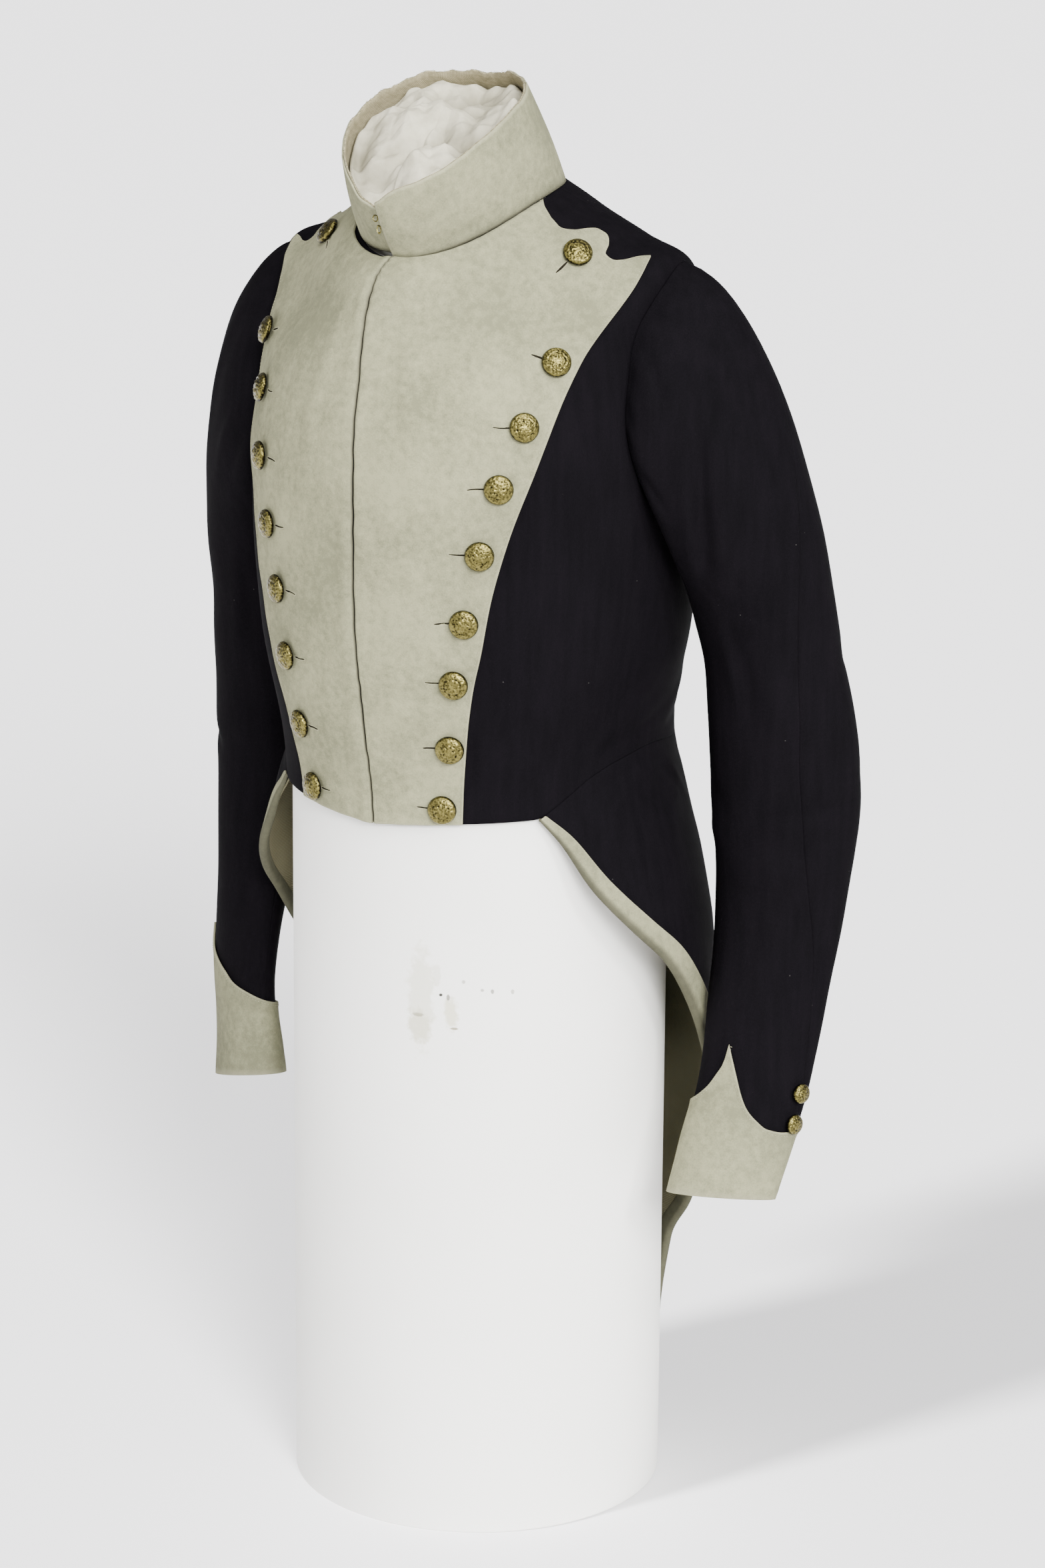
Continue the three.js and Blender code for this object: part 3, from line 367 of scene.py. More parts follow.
def cloth(name, points, normals, lift, wall, material, closed=False):
    """A wall of cloth on a grid of points, its outer face lifted by lift, with rounded cut edges."""
    rows, columns = points.shape[:2]
    outer = points + normals * lift
    inner = points + normals * (lift - wall)
    number = np.arange(rows * columns).reshape(rows, columns)
    wrapped = np.concatenate([number, number[:, :1]], 1) if closed else number
    a, b, c, d = wrapped[:-1, :-1], wrapped[:-1, 1:], wrapped[1:, 1:], wrapped[1:, :-1]
    top = np.stack([a, b, c, d], -1).reshape(-1, 4)
    faces = [top, top[:, ::-1] + rows * columns]
    out = np.zeros_like(points)
    out[0] += unit(points[0] - points[1])
    out[-1] += unit(points[-1] - points[-2])
    if closed:
        rings = [number[0], number[-1]]
    else:
        out[:, 0] += unit(points[:, 0] - points[:, 1])
        out[:, -1] += unit(points[:, -1] - points[:, -2])
        rings = [np.concatenate([number[0, :-1], number[:-1, -1], number[-1, :0:-1], number[:0:-1, 0]])]
    vertices = [outer.reshape(-1, 3), inner.reshape(-1, 3)]
    across = np.zeros((rows, columns))
    across[:, 1:] = np.linalg.norm(np.diff(points, axis=1), axis=-1).cumsum(1)
    down = np.zeros((rows, columns))
    down[1:] = np.linalg.norm(np.diff(points, axis=0), axis=-1).cumsum(0)
    flat = np.stack([across, down], -1).reshape(-1, 2) / 1000
    uvs = [flat, flat]
    total = 2 * rows * columns
    border = np.zeros(total)
    for ring in rings:
        border[ring] = border[ring + rows * columns] = 1
        middle = ((outer + inner) / 2).reshape(-1, 3)[ring] + unit(out.reshape(-1, 3)[ring]) * wall * 0.24
        rim = total + np.arange(len(ring))
        ahead = np.roll(ring, -1)
        rim_ahead = np.roll(rim, -1)
        faces.append(np.stack([ring, rim, rim_ahead, ahead], -1))
        faces.append(np.stack([rim, ring + rows * columns, ahead + rows * columns, rim_ahead], -1))
        vertices.append(middle)
        uvs.append(flat[ring])
        total += len(ring)
    border = np.concatenate([border, np.ones(total - 2 * rows * columns)])
    return make_object(name, np.concatenate(vertices) / 1000, np.concatenate(faces), material,
                       np.concatenate(uvs), border)


def mark_painted_shade(piece, *values):
    """How much painted shade each point gets, where shade falls in gaps, folds and hollows."""
    held = piece.data.attributes.new("painted_shade", 'FLOAT', 'POINT')
    held.data.foreach_set("value", np.concatenate(values).astype(np.float32))


def keep(piece, slot, *nodes):
    """The piece stands for its solids, which it hides, and hangs from the root body; slot is not used."""
    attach(piece, "root")
    if nodes:
        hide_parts(*nodes)
    return piece


# Fulled wool broadcloth, woven, milled, raised and shorn: its nap hides the weave and gives a
# soft violet-black bloom with slow cloudy patches, a fine nap and a few pale specks of lint.
broadcloth, tree, shader, place = new_material("navy_fulled_broadcloth")
clouds = add_node(tree, 'ShaderNodeTexNoise', {"Vector": place, "Scale": 14.0, "Detail": 4.0})
nap = add_node(tree, 'ShaderNodeTexNoise', {"Vector": place, "Scale": 900.0, "Detail": 3.0})
fibre_way = add_node(tree, 'ShaderNodeMapping', {"Vector": place, "Scale": (700.0, 700.0, 90.0)})
fibres = add_node(tree, 'ShaderNodeTexNoise', {"Vector": fibre_way.outputs["Vector"], "Scale": 1.0,
                                               "Detail": 2.0})
hang = add_node(tree, 'ShaderNodeMapping', {"Vector": place, "Scale": (150.0, 150.0, 16.0)})
streaks = add_node(tree, 'ShaderNodeTexNoise', {"Vector": hang.outputs["Vector"], "Scale": 1.0,
                                                "Detail": 3.0})
bloom = add_node(tree, 'ShaderNodeMix', {0: 0.55, 2: clouds.outputs["Fac"], 3: streaks.outputs["Fac"]})
depth = add_node(tree, 'ShaderNodeMix', {0: 0.35, 2: bloom.outputs[0], 3: nap.outputs["Fac"]})
navy = add_node(tree, 'ShaderNodeValToRGB', {"Fac": depth.outputs[0]})
dark, pale = navy.color_ramp.elements
dark.position, dark.color = 0.36, linear("#080709")
pale.position, pale.color = 0.64, linear("#0d0b0e")
lint = add_node(tree, 'ShaderNodeTexVoronoi', {"Vector": place, "Scale": 130.0, "Randomness": 1.0})
speck = add_node(tree, 'ShaderNodeMath', {0: lint.outputs["Distance"], 1: 0.055}, operation='LESS_THAN')
some = add_node(tree, 'ShaderNodeTexNoise', {"Vector": place, "Scale": 60.0})
rare = add_node(tree, 'ShaderNodeMath', {0: some.outputs["Fac"], 1: 0.62}, operation='GREATER_THAN')
lint_spot = add_node(tree, 'ShaderNodeMath', {0: speck.outputs[0], 1: rare.outputs[0]}, operation='MULTIPLY')
lint_share = add_node(tree, 'ShaderNodeMath', {0: lint_spot.outputs[0], 1: 0.5}, operation='MULTIPLY')
with_lint = add_node(tree, 'ShaderNodeMix', {0: lint_share.outputs[0], 6: navy.outputs["Color"],
                                             7: linear("#4a4846")}, data_type='RGBA')
tree.links.new(with_lint.outputs[2], shader.inputs["Base Color"])
shader.inputs["Roughness"].default_value = 0.8
shader.inputs["Specular IOR Level"].default_value = 0.015
felt = add_node(tree, 'ShaderNodeMix', {0: 0.5, 2: nap.outputs["Fac"], 3: fibres.outputs["Fac"]})
bumps = add_node(tree, 'ShaderNodeBump', {"Strength": 0.5, "Distance": 0.0006, "Height": felt.outputs[0]})
tree.links.new(bumps.outputs["Normal"], shader.inputs["Normal"])

body_rows = np.concatenate([
    np.linspace(0, armhole_low, 70, endpoint=False),
    armhole_level - armhole_reach * np.cos(np.linspace(0, math.pi, 60, endpoint=False)),
    np.linspace(armhole_high, neck_level, 70),
])


def body_grid(rows, edge_a, edge_b, shares, side, more=None, reach=None):
    """Places on the body between two edges, settled; more adds a lift, reach moves the top edge."""
    angle = edge_a[:, None] + (edge_b - edge_a)[:, None] * shares[None, :]
    level = lowered_to_waist(angle, np.broadcast_to(rows[:, None], angle.shape))
    if reach is not None:
        level = reach(side, angle, level)
    points, normals = body(angle, level), body_normal(angle, level)
    extra = 0 if more is None else more(angle, level)
    return settled(side, points, normals, body, body_creases, extra)


front_shares = np.linspace(0, 1, 72)
for side in ("left", "right"):
    start = np.full(len(body_rows), half_seam)
    end = panel_edge(body_rows, armhole_front, -1)
    points, normals = body_grid(body_rows, start, end, front_shares, side)
    front = cloth(f"front_{side}_cloth", points, normals, 0, cloth_wall, broadcloth)
    keep(front, "navy_broadcloth", f"front_{side}")


# ---- backs ----
# Two narrow backs of the same broadcloth meet at a centre seam; each has the hind half of
# the armhole, the long side-back seam and the hind half of the shoulder.
back_middle = 179.945
back_shares = np.linspace(0, 1, 34)
for side in ("left", "right"):
    end = np.full(len(body_rows), back_middle)
    points, normals = body_grid(body_rows, panel_edge(body_rows, armhole_back, 1), end, back_shares, side)
    back = cloth(f"back_{side}_cloth", points, normals, 0, cloth_wall, broadcloth)
    keep(back, "navy_broadcloth", f"back_{side}")


# ---- lapels ----
# The plastron: two lapels of off-white felted cloth laid flat on the fronts and buttoned
# back, cut raw at their scalloped edges. They meet edge to edge at the hooked centre.
lapel_edge = np.array([
    [0.1, 27.6, 29.6], [0.4, 27.7, 29.8], [1.3, 28.0, 30.6], [2.3, 28.6, 32.6], [3.1, 29.6, 34.9],
    [3.7, 30.6, 37], [4.3, 32.4, 39.4], [4.9, 34.4, 42], [5.6, 37.4, 44.4], [6.3, 40.8, 47],
    [7.0, 44.6, 49.9], [7.64, 48.2, 53], [8.37, 52.1, 57], [9.17, 57.9, 61.5], [9.64, 62.6, 64.4],
    [9.96, 67.7, 68], [10.2, 73.6, 73.6], [10.36, 79.2, 79.2], [10.48, 76.3, 76.3], [10.61, 71.8, 71.8],
    [10.74, 70, 70], [10.97, 71.2, 71.2], [11.15, 76.6, 76.6], [11.3, 80.3, 80.3], [11.41, 82, 82],
    [11.62, 83, 83], [11.73, 80.5, 80.5], [11.87, 75.9, 75.9], [12.08, 73.5, 73.5], [12.35, 76.2, 76.2],
    [12.62, 81.7, 81.7], [12.8, 87.2, 87.2],
])
lapel_lift = seam_gap + facing_wall

# Felted wool facing cloth, off-white gone greenish yellow: matt, with slow soiling, mottled
# patches a few millimetres wide, a short felt that scatters the light and paler raw edges,
# and painted shade where shade falls in the gaps and folds.
facing_cloth, tree, shader, place = new_material("off_white_felted_facing")
soiling = add_node(tree, 'ShaderNodeTexNoise', {"Vector": place, "Scale": 14.0, "Detail": 4.0})
mottle = add_node(tree, 'ShaderNodeTexNoise', {"Vector": place, "Scale": 190.0, "Detail": 3.0})
felting = add_node(tree, 'ShaderNodeTexNoise', {"Vector": place, "Scale": 900.0, "Detail": 3.0,
                                                "Roughness": 0.7})
fine = add_node(tree, 'ShaderNodeMix', {0: 0.5, 2: mottle.outputs["Fac"], 3: felting.outputs["Fac"]})
mixed = add_node(tree, 'ShaderNodeMix', {0: 0.55, 2: soiling.outputs["Fac"], 3: fine.outputs[0]})
facing_tone = add_node(tree, 'ShaderNodeValToRGB', {"Fac": mixed.outputs[0]})
dark, pale = facing_tone.color_ramp.elements
dark.position, dark.color = 0.41, linear("#6a6a54")
pale.position, pale.color = 0.58, linear("#858469")
raw = add_node(tree, 'ShaderNodeAttribute', attribute_name="cut_edge")
raw_share = add_node(tree, 'ShaderNodeMath', {0: raw.outputs["Fac"], 1: 0.4}, operation='MULTIPLY')
with_edge = add_node(tree, 'ShaderNodeMix', {0: raw_share.outputs[0], 6: facing_tone.outputs["Color"],
                                             7: linear("#9f9c82")}, data_type='RGBA')
# Painted shade: an attribute darkens the cloth towards dark olive in the gaps and folds.
painted_shade_amount = add_node(tree, 'ShaderNodeAttribute', attribute_name="painted_shade")
facing_with_painted_shade = add_node(tree, 'ShaderNodeMix', {0: painted_shade_amount.outputs["Fac"], 6: with_edge.outputs[2],
                                               7: linear("#2f2e26")}, data_type='RGBA')
tree.links.new(facing_with_painted_shade.outputs[2], shader.inputs["Base Color"])
shader.inputs["Roughness"].default_value = 0.95
shader.inputs["Specular IOR Level"].default_value = 0.1
bumps = add_node(tree, 'ShaderNodeBump', {"Strength": 0.6, "Distance": 0.0009, "Height": fine.outputs[0]})
tree.links.new(bumps.outputs["Normal"], shader.inputs["Normal"])

lapel_rows = np.concatenate([np.linspace(0, 9.6, 190, endpoint=False), np.linspace(9.6, 12.8, 110)])
lapel_shares = np.concatenate([
    np.linspace(0, 0.12, 10, endpoint=False), np.linspace(0.12, 0.9, 44, endpoint=False),
    np.linspace(0.9, 1, 12),
])


def lapel_edge_at(side, rows):
    column = 1 if side == "left" else 2
    return flowing(lapel_edge[:, [0, column]], rows, corners=(10.36,))


# The hooked centre line wanders: level, and degrees round from the middle towards the wearer's left.
closure_line = np.array([
    [0, 1.1], [0.28, 1.0], [1.6, 0.5], [2.56, 0], [3.76, -0.5], [4.8, -1.0], [5.88, -0.5], [7.04, 0],
    [8.2, -0.1], [9.12, -1.5], [10.24, -2.5], [11.6, -2.7], [12.5, -2.2], [13, -1.6],
])
closure_gap = 0.34  # from the line to each lapel's edge, in degrees


def closure_at(side, rows):
    line = flowing(closure_line, rows) + 0.08 * np.sin(6.3 * rows) * np.sin(2.1 * rows + 1)
    return (line if side == "left" else -line) + closure_gap


# Each lapel button's level and angle, from the shoulder down.
button_places = {
    "left": [(11.29, 64.6), (9.05, 48.8), (7.84, 42.2), (6.81, 36.4), (5.66, 31.9), (4.63, 28), (3.58, 25.3),
             (2.21, 24.2), (0.71, 22.1)],
    "right": [(11.74, 58.5), (8.99, 53.1), (8, 42.2), (6.87, 36.4), (5.71, 32.6), (4.74, 28.8), (3.66, 26.3),
              (2.24, 24), (0.74, 22.2)],
}


def puckers(side, angle, level):
    """Cloth drawn in under each button and rippled along its buttonhole."""
    height = np.zeros(np.shape(angle))
    for row, (button_level, button_angle) in enumerate(button_places[side]):
        beside, above = (angle - button_angle) * 2.6, (level - button_level) * 36
        by_slit = np.exp(-((beside + 15) / 8) ** 2)
        height += (0.42 * np.exp(-((above - 3.6) / 2.4) ** 2) * by_slit
                   - 0.6 * np.exp(-(beside ** 2 + above ** 2) / 120))
        height += (0.42 * np.exp(-((above + 3.6) / 2.4) ** 2) * by_slit
                   - 0.3 * np.exp(-(above / 1.9) ** 2) * by_slit)
        slant = above + (0.35 if row % 2 else -0.25) * beside
        height += 0.5 * np.exp(-((slant - 9) / 3.5) ** 2 - ((beside + 20) / 16) ** 2)
    return height


def lapel_relief(side):
    """Both edges are turned in at the closure and stitched flat along the outer edge."""
    def more(angle, level):
        inward = angle - closure_at(side, level)
        from_edge = (lapel_edge_at(side, level) - angle) * 2.6
        lip = -0.6 * np.exp(-((inward / 0.3) ** 2))
        seam = -0.28 * np.exp(-((from_edge - 2.3) / 0.8) ** 2) - 0.28 * np.exp(-((inward - 1.0) / 0.3) ** 2)
        seam = seam + puckers(side, angle, level) + 0.22 * np.sin(13 * level) * np.exp(-((inward / 1.6) ** 2))
        seam = seam + (0.3 * np.sin(0.45 * angle + 2.2 * np.sin(1.3 * level))
                       * np.sin(3.1 * level + 0.3 * angle))
        if side == "left":
            return lip + seam + 1.0 * np.exp(-((inward / 3.0) ** 2)) * (0.75 + 0.25 * np.sin(1.7 * level))
        roll = 1.1 * np.exp(-(((inward - 2.4) / 2.2) ** 2)) * (0.7 + 0.3 * np.sin(1.3 * level + 1))
        return lip + seam + roll
    return more


def to_the_collar(side, angle, level):
    """The lapels reach up to the collar seam, but for a gap beside the throat on the right."""
    throat = smooth(angle, 2, 9) * smooth(52 - angle, 0, 10) if side == "right" else 0
    return level + 0.17 * smooth(level, 12.2, 12.8) * (1 - throat)


# Pale linen sewing thread, waxed and a little fluffy.
thread, tree, shader, place = new_material("pale_linen_thread")
twist = add_node(tree, 'ShaderNodeTexNoise', {"Vector": place, "Scale": 1500.0, "Detail": 2.0})
thread_tone = add_node(tree, 'ShaderNodeValToRGB', {"Fac": twist.outputs["Fac"]})
dark, pale = thread_tone.color_ramp.elements
dark.position, dark.color = 0.3, linear("#77745b")
pale.position, pale.color = 0.7, linear("#97947a")
tree.links.new(thread_tone.outputs["Color"], shader.inputs["Base Color"])
shader.inputs["Roughness"].default_value = 0.75

# The open slit of a buttonhole: dark, because it looks down between the layers of cloth.
slit_shadow, tree, shader, place = new_material("buttonhole_slit_shadow")
murk = add_node(tree, 'ShaderNodeTexNoise', {"Vector": place, "Scale": 700.0})
slit_tone = add_node(tree, 'ShaderNodeValToRGB', {"Fac": murk.outputs["Fac"]})
dark, pale = slit_tone.color_ramp.elements
dark.color = linear("#0b0a08")
pale.color = linear("#221f17")
tree.links.new(slit_tone.outputs["Color"], shader.inputs["Base Color"])
shader.inputs["Roughness"].default_value = 0.95
shader.inputs["Specular IOR Level"].default_value = 0.05

# Sewing: one small rounded stitch, repeated along a line and turned to follow it.
sewing = bpy.data.node_groups.new("hand_sewing", 'GeometryNodeTree')
sewing.interface.new_socket("Seam line", in_out='INPUT', socket_type='NodeSocketGeometry')
stitch_sockets = {
    label: sewing.interface.new_socket(label, in_out='INPUT', socket_type=kind)
    for label, kind in (("Spacing", 'NodeSocketFloat'), ("Stitch size", 'NodeSocketVector'),
                        ("Thread", 'NodeSocketMaterial'))
}
sewing.interface.new_socket("Stitches", in_out='OUTPUT', socket_type='NodeSocketGeometry')
given = add_node(sewing, 'NodeGroupInput')
drawn = add_node(sewing, 'GeometryNodeMeshToCurve', {"Mesh": given.outputs["Seam line"]})
spaced = add_node(sewing, 'GeometryNodeResampleCurve', {"Curve": drawn.outputs["Curve"],
                                                        "Length": given.outputs["Spacing"]}, mode='LENGTH')
heading = add_node(sewing, 'GeometryNodeInputTangent')
turned = add_node(sewing, 'FunctionNodeAlignRotationToVector', {"Vector": heading.outputs[0]}, axis='X')
bead = add_node(sewing, 'GeometryNodeMeshUVSphere', {"Segments": 6, "Rings": 4, "Radius": 0.5})
stitch = add_node(sewing, 'GeometryNodeTransform', {"Geometry": bead.outputs["Mesh"],
                                                    "Scale": given.outputs["Stitch size"]})
placed = add_node(sewing, 'GeometryNodeInstanceOnPoints', {
    "Points": spaced.outputs["Curve"], "Instance": stitch.outputs["Geometry"],
    "Rotation": turned.outputs["Rotation"]})
real = add_node(sewing, 'GeometryNodeRealizeInstances', {"Geometry": placed.outputs["Instances"]})
threaded = add_node(sewing, 'GeometryNodeSetMaterial', {"Geometry": real.outputs["Geometry"],
                                                        "Material": given.outputs["Thread"]})
add_node(sewing, 'NodeGroupOutput', {"Stitches": threaded.outputs["Geometry"]})


# Prick stitches that hold a turned-in edge: how far apart, and their size, in millimetres.
prick_spacing, prick_size = 2.6, (1.7, 0.36, 0.36)


def sewn(name, lines, spacing, size, slot="facing_cloth", material=thread):
    """One piece of stitches along lines of points; spacing and size are in millimetres."""
    vertices, edges, total = [], [], 0
    for line in lines:
        vertices.append(line)
        edges += [(total + k, total + k + 1) for k in range(len(line) - 1)]
        total += len(line)
    mesh = bpy.data.meshes.new(name + "_line")
    mesh.from_pydata([tuple(v) for v in np.concatenate(vertices) / 1000], edges, [])
    guide = add_object(name + "_line", mesh)
    maker = guide.modifiers.new("sewing", 'NODES')
    maker.node_group = sewing
    maker[stitch_sockets["Spacing"].identifier] = spacing / 1000
    maker[stitch_sockets["Stitch size"].identifier] = [v / 1000 for v in size]
    maker[stitch_sockets["Thread"].identifier] = material
    ready = guide.evaluated_get(bpy.context.evaluated_depsgraph_get())
    made_mesh = bpy.data.meshes.new_from_object(ready)
    guide.modifiers.remove(maker)
    bpy.data.objects.remove(guide)
    made_mesh.polygons.foreach_set("use_smooth", [True] * len(made_mesh.polygons))
    return keep(add_object(name, made_mesh), slot)


def inside_edge(edge, normals, within, lift, inset):
    """A line a little way in from a cut edge; within is any row of points further in."""
    inward = np.cross(normals, np.gradient(edge, axis=0))
    inward = unit(inward * np.sign((inward * (within - edge)).sum(-1, keepdims=True)))
    line = edge + inward * inset + normals * lift
    clear = np.linalg.norm((line - normals * lift)[:, None] - edge[None], axis=-1).min(1) > inset * 0.96
    return line[clear]


for side in ("left", "right"):
    start, end = closure_at(side, lapel_rows), lapel_edge_at(side, lapel_rows)
    points, normals = body_grid(lapel_rows, start, end, lapel_shares, side, lapel_relief(side),
                                to_the_collar)
    lapel = cloth(f"lapel_{side}_cloth", points, normals, lapel_lift, facing_wall, facing_cloth)
    keep(lapel, "facing_cloth", f"lapel_{side}")
    # Painted shade along the closure gap, darkest on the right lapel and on the cut side of the closure edge,
    # and under the collar along the top rows.
    painted_shade_share = np.zeros(points.shape[:2])
    painted_shade_share[:, 0] = 0.75 if side == "right" else 0.3
    painted_shade_share[-1], painted_shade_share[-2] = 0.5, 0.2
    rim_painted_shade = np.zeros(len(lapel.data.vertices) - 2 * painted_shade_share.size)
    rim_painted_shade[1 - len(points):] = 0.97
    mark_painted_shade(lapel, painted_shade_share.ravel(), painted_shade_share.ravel(), rim_painted_shade)
    outer_line = inside_edge(points[:, -1], normals[:, -1], points[:, -8], lapel_lift + 0.02, 2.3)
    inner_line = inside_edge(points[:-6, 0], normals[:-6, 0], points[:-6, 8], lapel_lift + 0.02, 2.4)
    sewn(f"lapel_{side}_stitches", [outer_line, inner_line], prick_spacing, prick_size)


# ---- buttons ----
# Gilt brass shell buttons, stamped with a stippled ground inside a plain ring, domed, and
# sewn on by shanks. Eighteen hold the lapels back, two sit at the hips and four on the cuffs.

# Gilt brass, stamped in low relief and burnished: bright on the raised parts, worn to an
# olive brown in places, with painted shade in the stamped hollows and round the rim.
gilt_brass, tree, shader, place = new_material("gilt_stamped_brass")
stipple = add_node(tree, 'ShaderNodeTexVoronoi', {"Vector": place, "Scale": 640.0})
wear = add_node(tree, 'ShaderNodeTexNoise', {"Vector": place, "Scale": 420.0, "Detail": 4.0,
                                             "Roughness": 0.65})
# Painted shade: the attribute darkens the stamped hollows and the rim towards olive brown.
painted_shade = add_node(tree, 'ShaderNodeAttribute', attribute_name="painted_shade")
gilding = add_node(tree, 'ShaderNodeMix', {0: 0.6, 2: stipple.outputs["Distance"], 3: wear.outputs["Fac"]})
shaded_gilding = add_node(tree, 'ShaderNodeMath', {0: gilding.outputs[0], 1: painted_shade.outputs["Fac"]},
                  operation='SUBTRACT')
gilt = add_node(tree, 'ShaderNodeValToRGB', {"Fac": shaded_gilding.outputs[0]})
dark, pale = gilt.color_ramp.elements
dark.position, dark.color = 0.24, linear("#120f06")
pale.position, pale.color = 0.6, linear("#736b3c")
tree.links.new(gilt.outputs["Color"], shader.inputs["Base Color"])
shader.inputs["Metallic"].default_value = 1.0
shader.inputs["Roughness"].default_value = 0.3
bumps = add_node(tree, 'ShaderNodeBump', {"Strength": 0.9, "Distance": 0.0008, "Height": gilding.outputs[0]})
tree.links.new(bumps.outputs["Normal"], shader.inputs["Normal"])


coat_button, cuff_button = 10.5, 7.5  # radius in millimetres


def button_parts(radius, centre, facing):
    """Vertices and faces of one domed button on a flat back, turned to face outwards."""
    rings, around = 20, 56
    share = np.linspace(0, 1, rings)
    turn = np.linspace(0, 2 * math.pi, around, endpoint=False)
    r = np.concatenate([share, [1.0, 0.93, 0.8]])
    height = np.concatenate([0.17 + 0.44 * np.sqrt(1 - share ** 2) ** 1.1, [0.1, 0.03, 0.0]])
    height[:rings] += 0.03 * np.exp(-((share - 0.9) / 0.035) ** 2)
    r, height = r[:, None] * radius, height[:, None] * radius
    rosette = np.exp(-((share - 0.36) / 0.12) ** 2)[:, None] * np.cos(8 * turn)[None, :]
    beads = np.exp(-((share - 0.74) / 0.07) ** 2)[:, None] * np.cos(16 * turn)[None, :]
    relief = np.zeros((len(r), around))
    relief[:rings] = rosette + beads - np.exp(-((share - 0.57) / 0.06) ** 2)[:, None]
    bump = 0.026 * radius * relief
    # Painted shade in the stamped hollows and round the rim and back.
    painted_shade = np.clip(-relief, 0, 1) * 0.16
    painted_shade[rings - 1:] = 0.3
    across = unit(np.cross([0, 0, 1], facing))
    upward = np.cross(facing, across)
    ring_points = (centre + across * (r * np.cos(turn))[..., None] + upward * (r * np.sin(turn))[..., None]
                   + facing * (height + bump)[..., None])
    crown = ring_points[0, 0]
    vertices = [crown, *ring_points[1:].reshape(-1, 3), centre]
    count = len(r) - 1
    faces = []
    for k in range(around):
        ahead = (k + 1) % around
        faces.append((0, 1 + k, 1 + ahead))
        faces.append((1 + count * around, 1 + (count - 1) * around + ahead, 1 + (count - 1) * around + k))
        for ring in range(count - 1):
            base = 1 + ring * around
            faces.append((base + k, base + around + k, base + around + ahead, base + ahead))
    return np.array(vertices), faces, np.concatenate([[0.0], painted_shade[1:].ravel(), [0.3]])


def button_set(name, radius, places):
    """One piece holding several buttons, each a centre and the way it faces."""
    vertices, faces, painted_shades, total = [], [], [], 0
    for centre, facing in places:
        points, patch, painted_shade = button_parts(radius, centre, facing)
        vertices.append(points)
        painted_shades.append(painted_shade)
        faces += [tuple(total + k for k in face) for face in patch]
        total += len(points)
    made = make_object(name, np.concatenate(vertices) / 1000, faces, gilt_brass)
    mark_painted_shade(made, *painted_shades)
    return made


def on_body(side, angle, level, lift):
    points, normals = on_side(side, body(angle, level), body_normal(angle, level))
    return points + normals * lift, normals


def on_lapel(side, angle, level):
    """A place on the settled lapel, under its outer face, for lines of places."""
    points, normals = body(angle, level), body_normal(angle, level)
    more = lapel_relief(side)(angle, level)
    return settled(side, points, normals, body, body_creases, more)


# The buttonholes run in from the buttons towards the middle, worked round with thread. The two
# upper ones slant: degrees away from the button and run, then levels above it and climbed.
slit_courses = {0: (5.2, 6.4, -0.08, -0.17), 1: (2.9, 4.6, 0.09, 0.14)}
for side in ("left", "right"):
    slits, rims = [], []
    for order, (level, angle) in enumerate(button_places[side]):
        share = np.linspace(0, 1, 14)
        away, run, above, climb = slit_courses.get(order, (2.8, 4.7, 0, 0.02 * (-1) ** order))
        line, facing = on_lapel(side, angle - away - run * share, level + above + climb * share)
        sideways = unit(np.cross(facing, np.gradient(line, axis=0)))
        half = 0.75 * np.sqrt(np.sin(math.pi * np.clip(share, 0.02, 0.98)))[:, None]
        grid = np.stack([line - sideways * half, line + sideways * half])
        slits.append(cloth("slit", grid, np.stack([facing, facing]), lapel_lift + 0.1, 0.3, slit_shadow))
        loop = np.concatenate([line - sideways * (half + 0.42), (line + sideways * (half + 0.42))[::-1]])
        loop = loop + np.concatenate([facing, facing[::-1]]) * (lapel_lift + 0.05)
        rims.append(np.concatenate([loop, loop[:1]]))
    work = bmesh.new()
    for slit in slits:
        work.from_mesh(slit.data)
        bpy.data.objects.remove(slit)
    slit_mesh = bpy.data.meshes.new(f"lapel_{side}_slits")
    work.to_mesh(slit_mesh)
    work.free()
    slit_mesh.materials.append(slit_shadow)
    keep(add_object(f"lapel_{side}_slits", slit_mesh), "facing_cloth")
    sewn(f"lapel_{side}_buttonhole_thread", rims, 0.75, (1.0, 0.5, 0.5))

for side in ("left", "right"):
    places = [on_body(side, angle, level, lapel_lift + 0.9) for level, angle in button_places[side]]
    row = button_set(f"lapel_buttons_{side}", coat_button, places)
    keep(row, "gilt_brass", *[f"lapel_button_{side}_{k}" for k in range(1, 10)])
    hip = button_set(f"hip_button_{side}_dome", coat_button, [on_body(side, 166, 2.05, 0.6)])
    keep(hip, "gilt_brass", f"hip_button_{side}")


# ---- collar ----
# A tall standing collar of the facing cloth, lined with linen and hooked at the throat. It
# climbs towards the nape; its right end droops and tucks in behind the left one.
def collar(angle, up):
    a = np.radians(angle)
    back = -74 * np.cos(a)
    to_right_end = smooth(angle, 318, 360)
    corner_drop = 9 * np.exp(-((angle + 1.2) / 9) ** 2)
    wavy = ((0.4 + smooth(angle, 60, 170))
            * (np.sin(5 * a + 1) + 0.7 * np.sin(11 * a + 2) + 0.5 * np.sin(23 * a)))
    rim = np.stack([61 * np.sin(a), -65 + back,
                    1045.3 + 0.478 * back - 0.00248 * back * back - 14 * to_right_end - corner_drop
                    + 0.7 * wavy], -1)
    foot = body(angle, neck_level) + np.stack([0 * a, 0 * a, seam_gap + 2.5 * to_right_end], -1)
    out = np.stack([np.sin(a), -np.cos(a), 0 * a], -1)
    point = foot + (rim - foot) * up[..., None]
    return point + out * (1.6 * np.sin(math.pi * up) - 4.5 * to_right_end)[..., None]


def normals_of(surface, u, v, step=1e-3):
    """Normals of a surface of two numbers that each run about 0 to 1."""
    along_u = surface(u + step, v) - surface(u - step, v)
    along_v = surface(u, np.minimum(v + step, 1)) - surface(u, np.maximum(v - step, 0))
    return unit(np.cross(along_u, along_v))


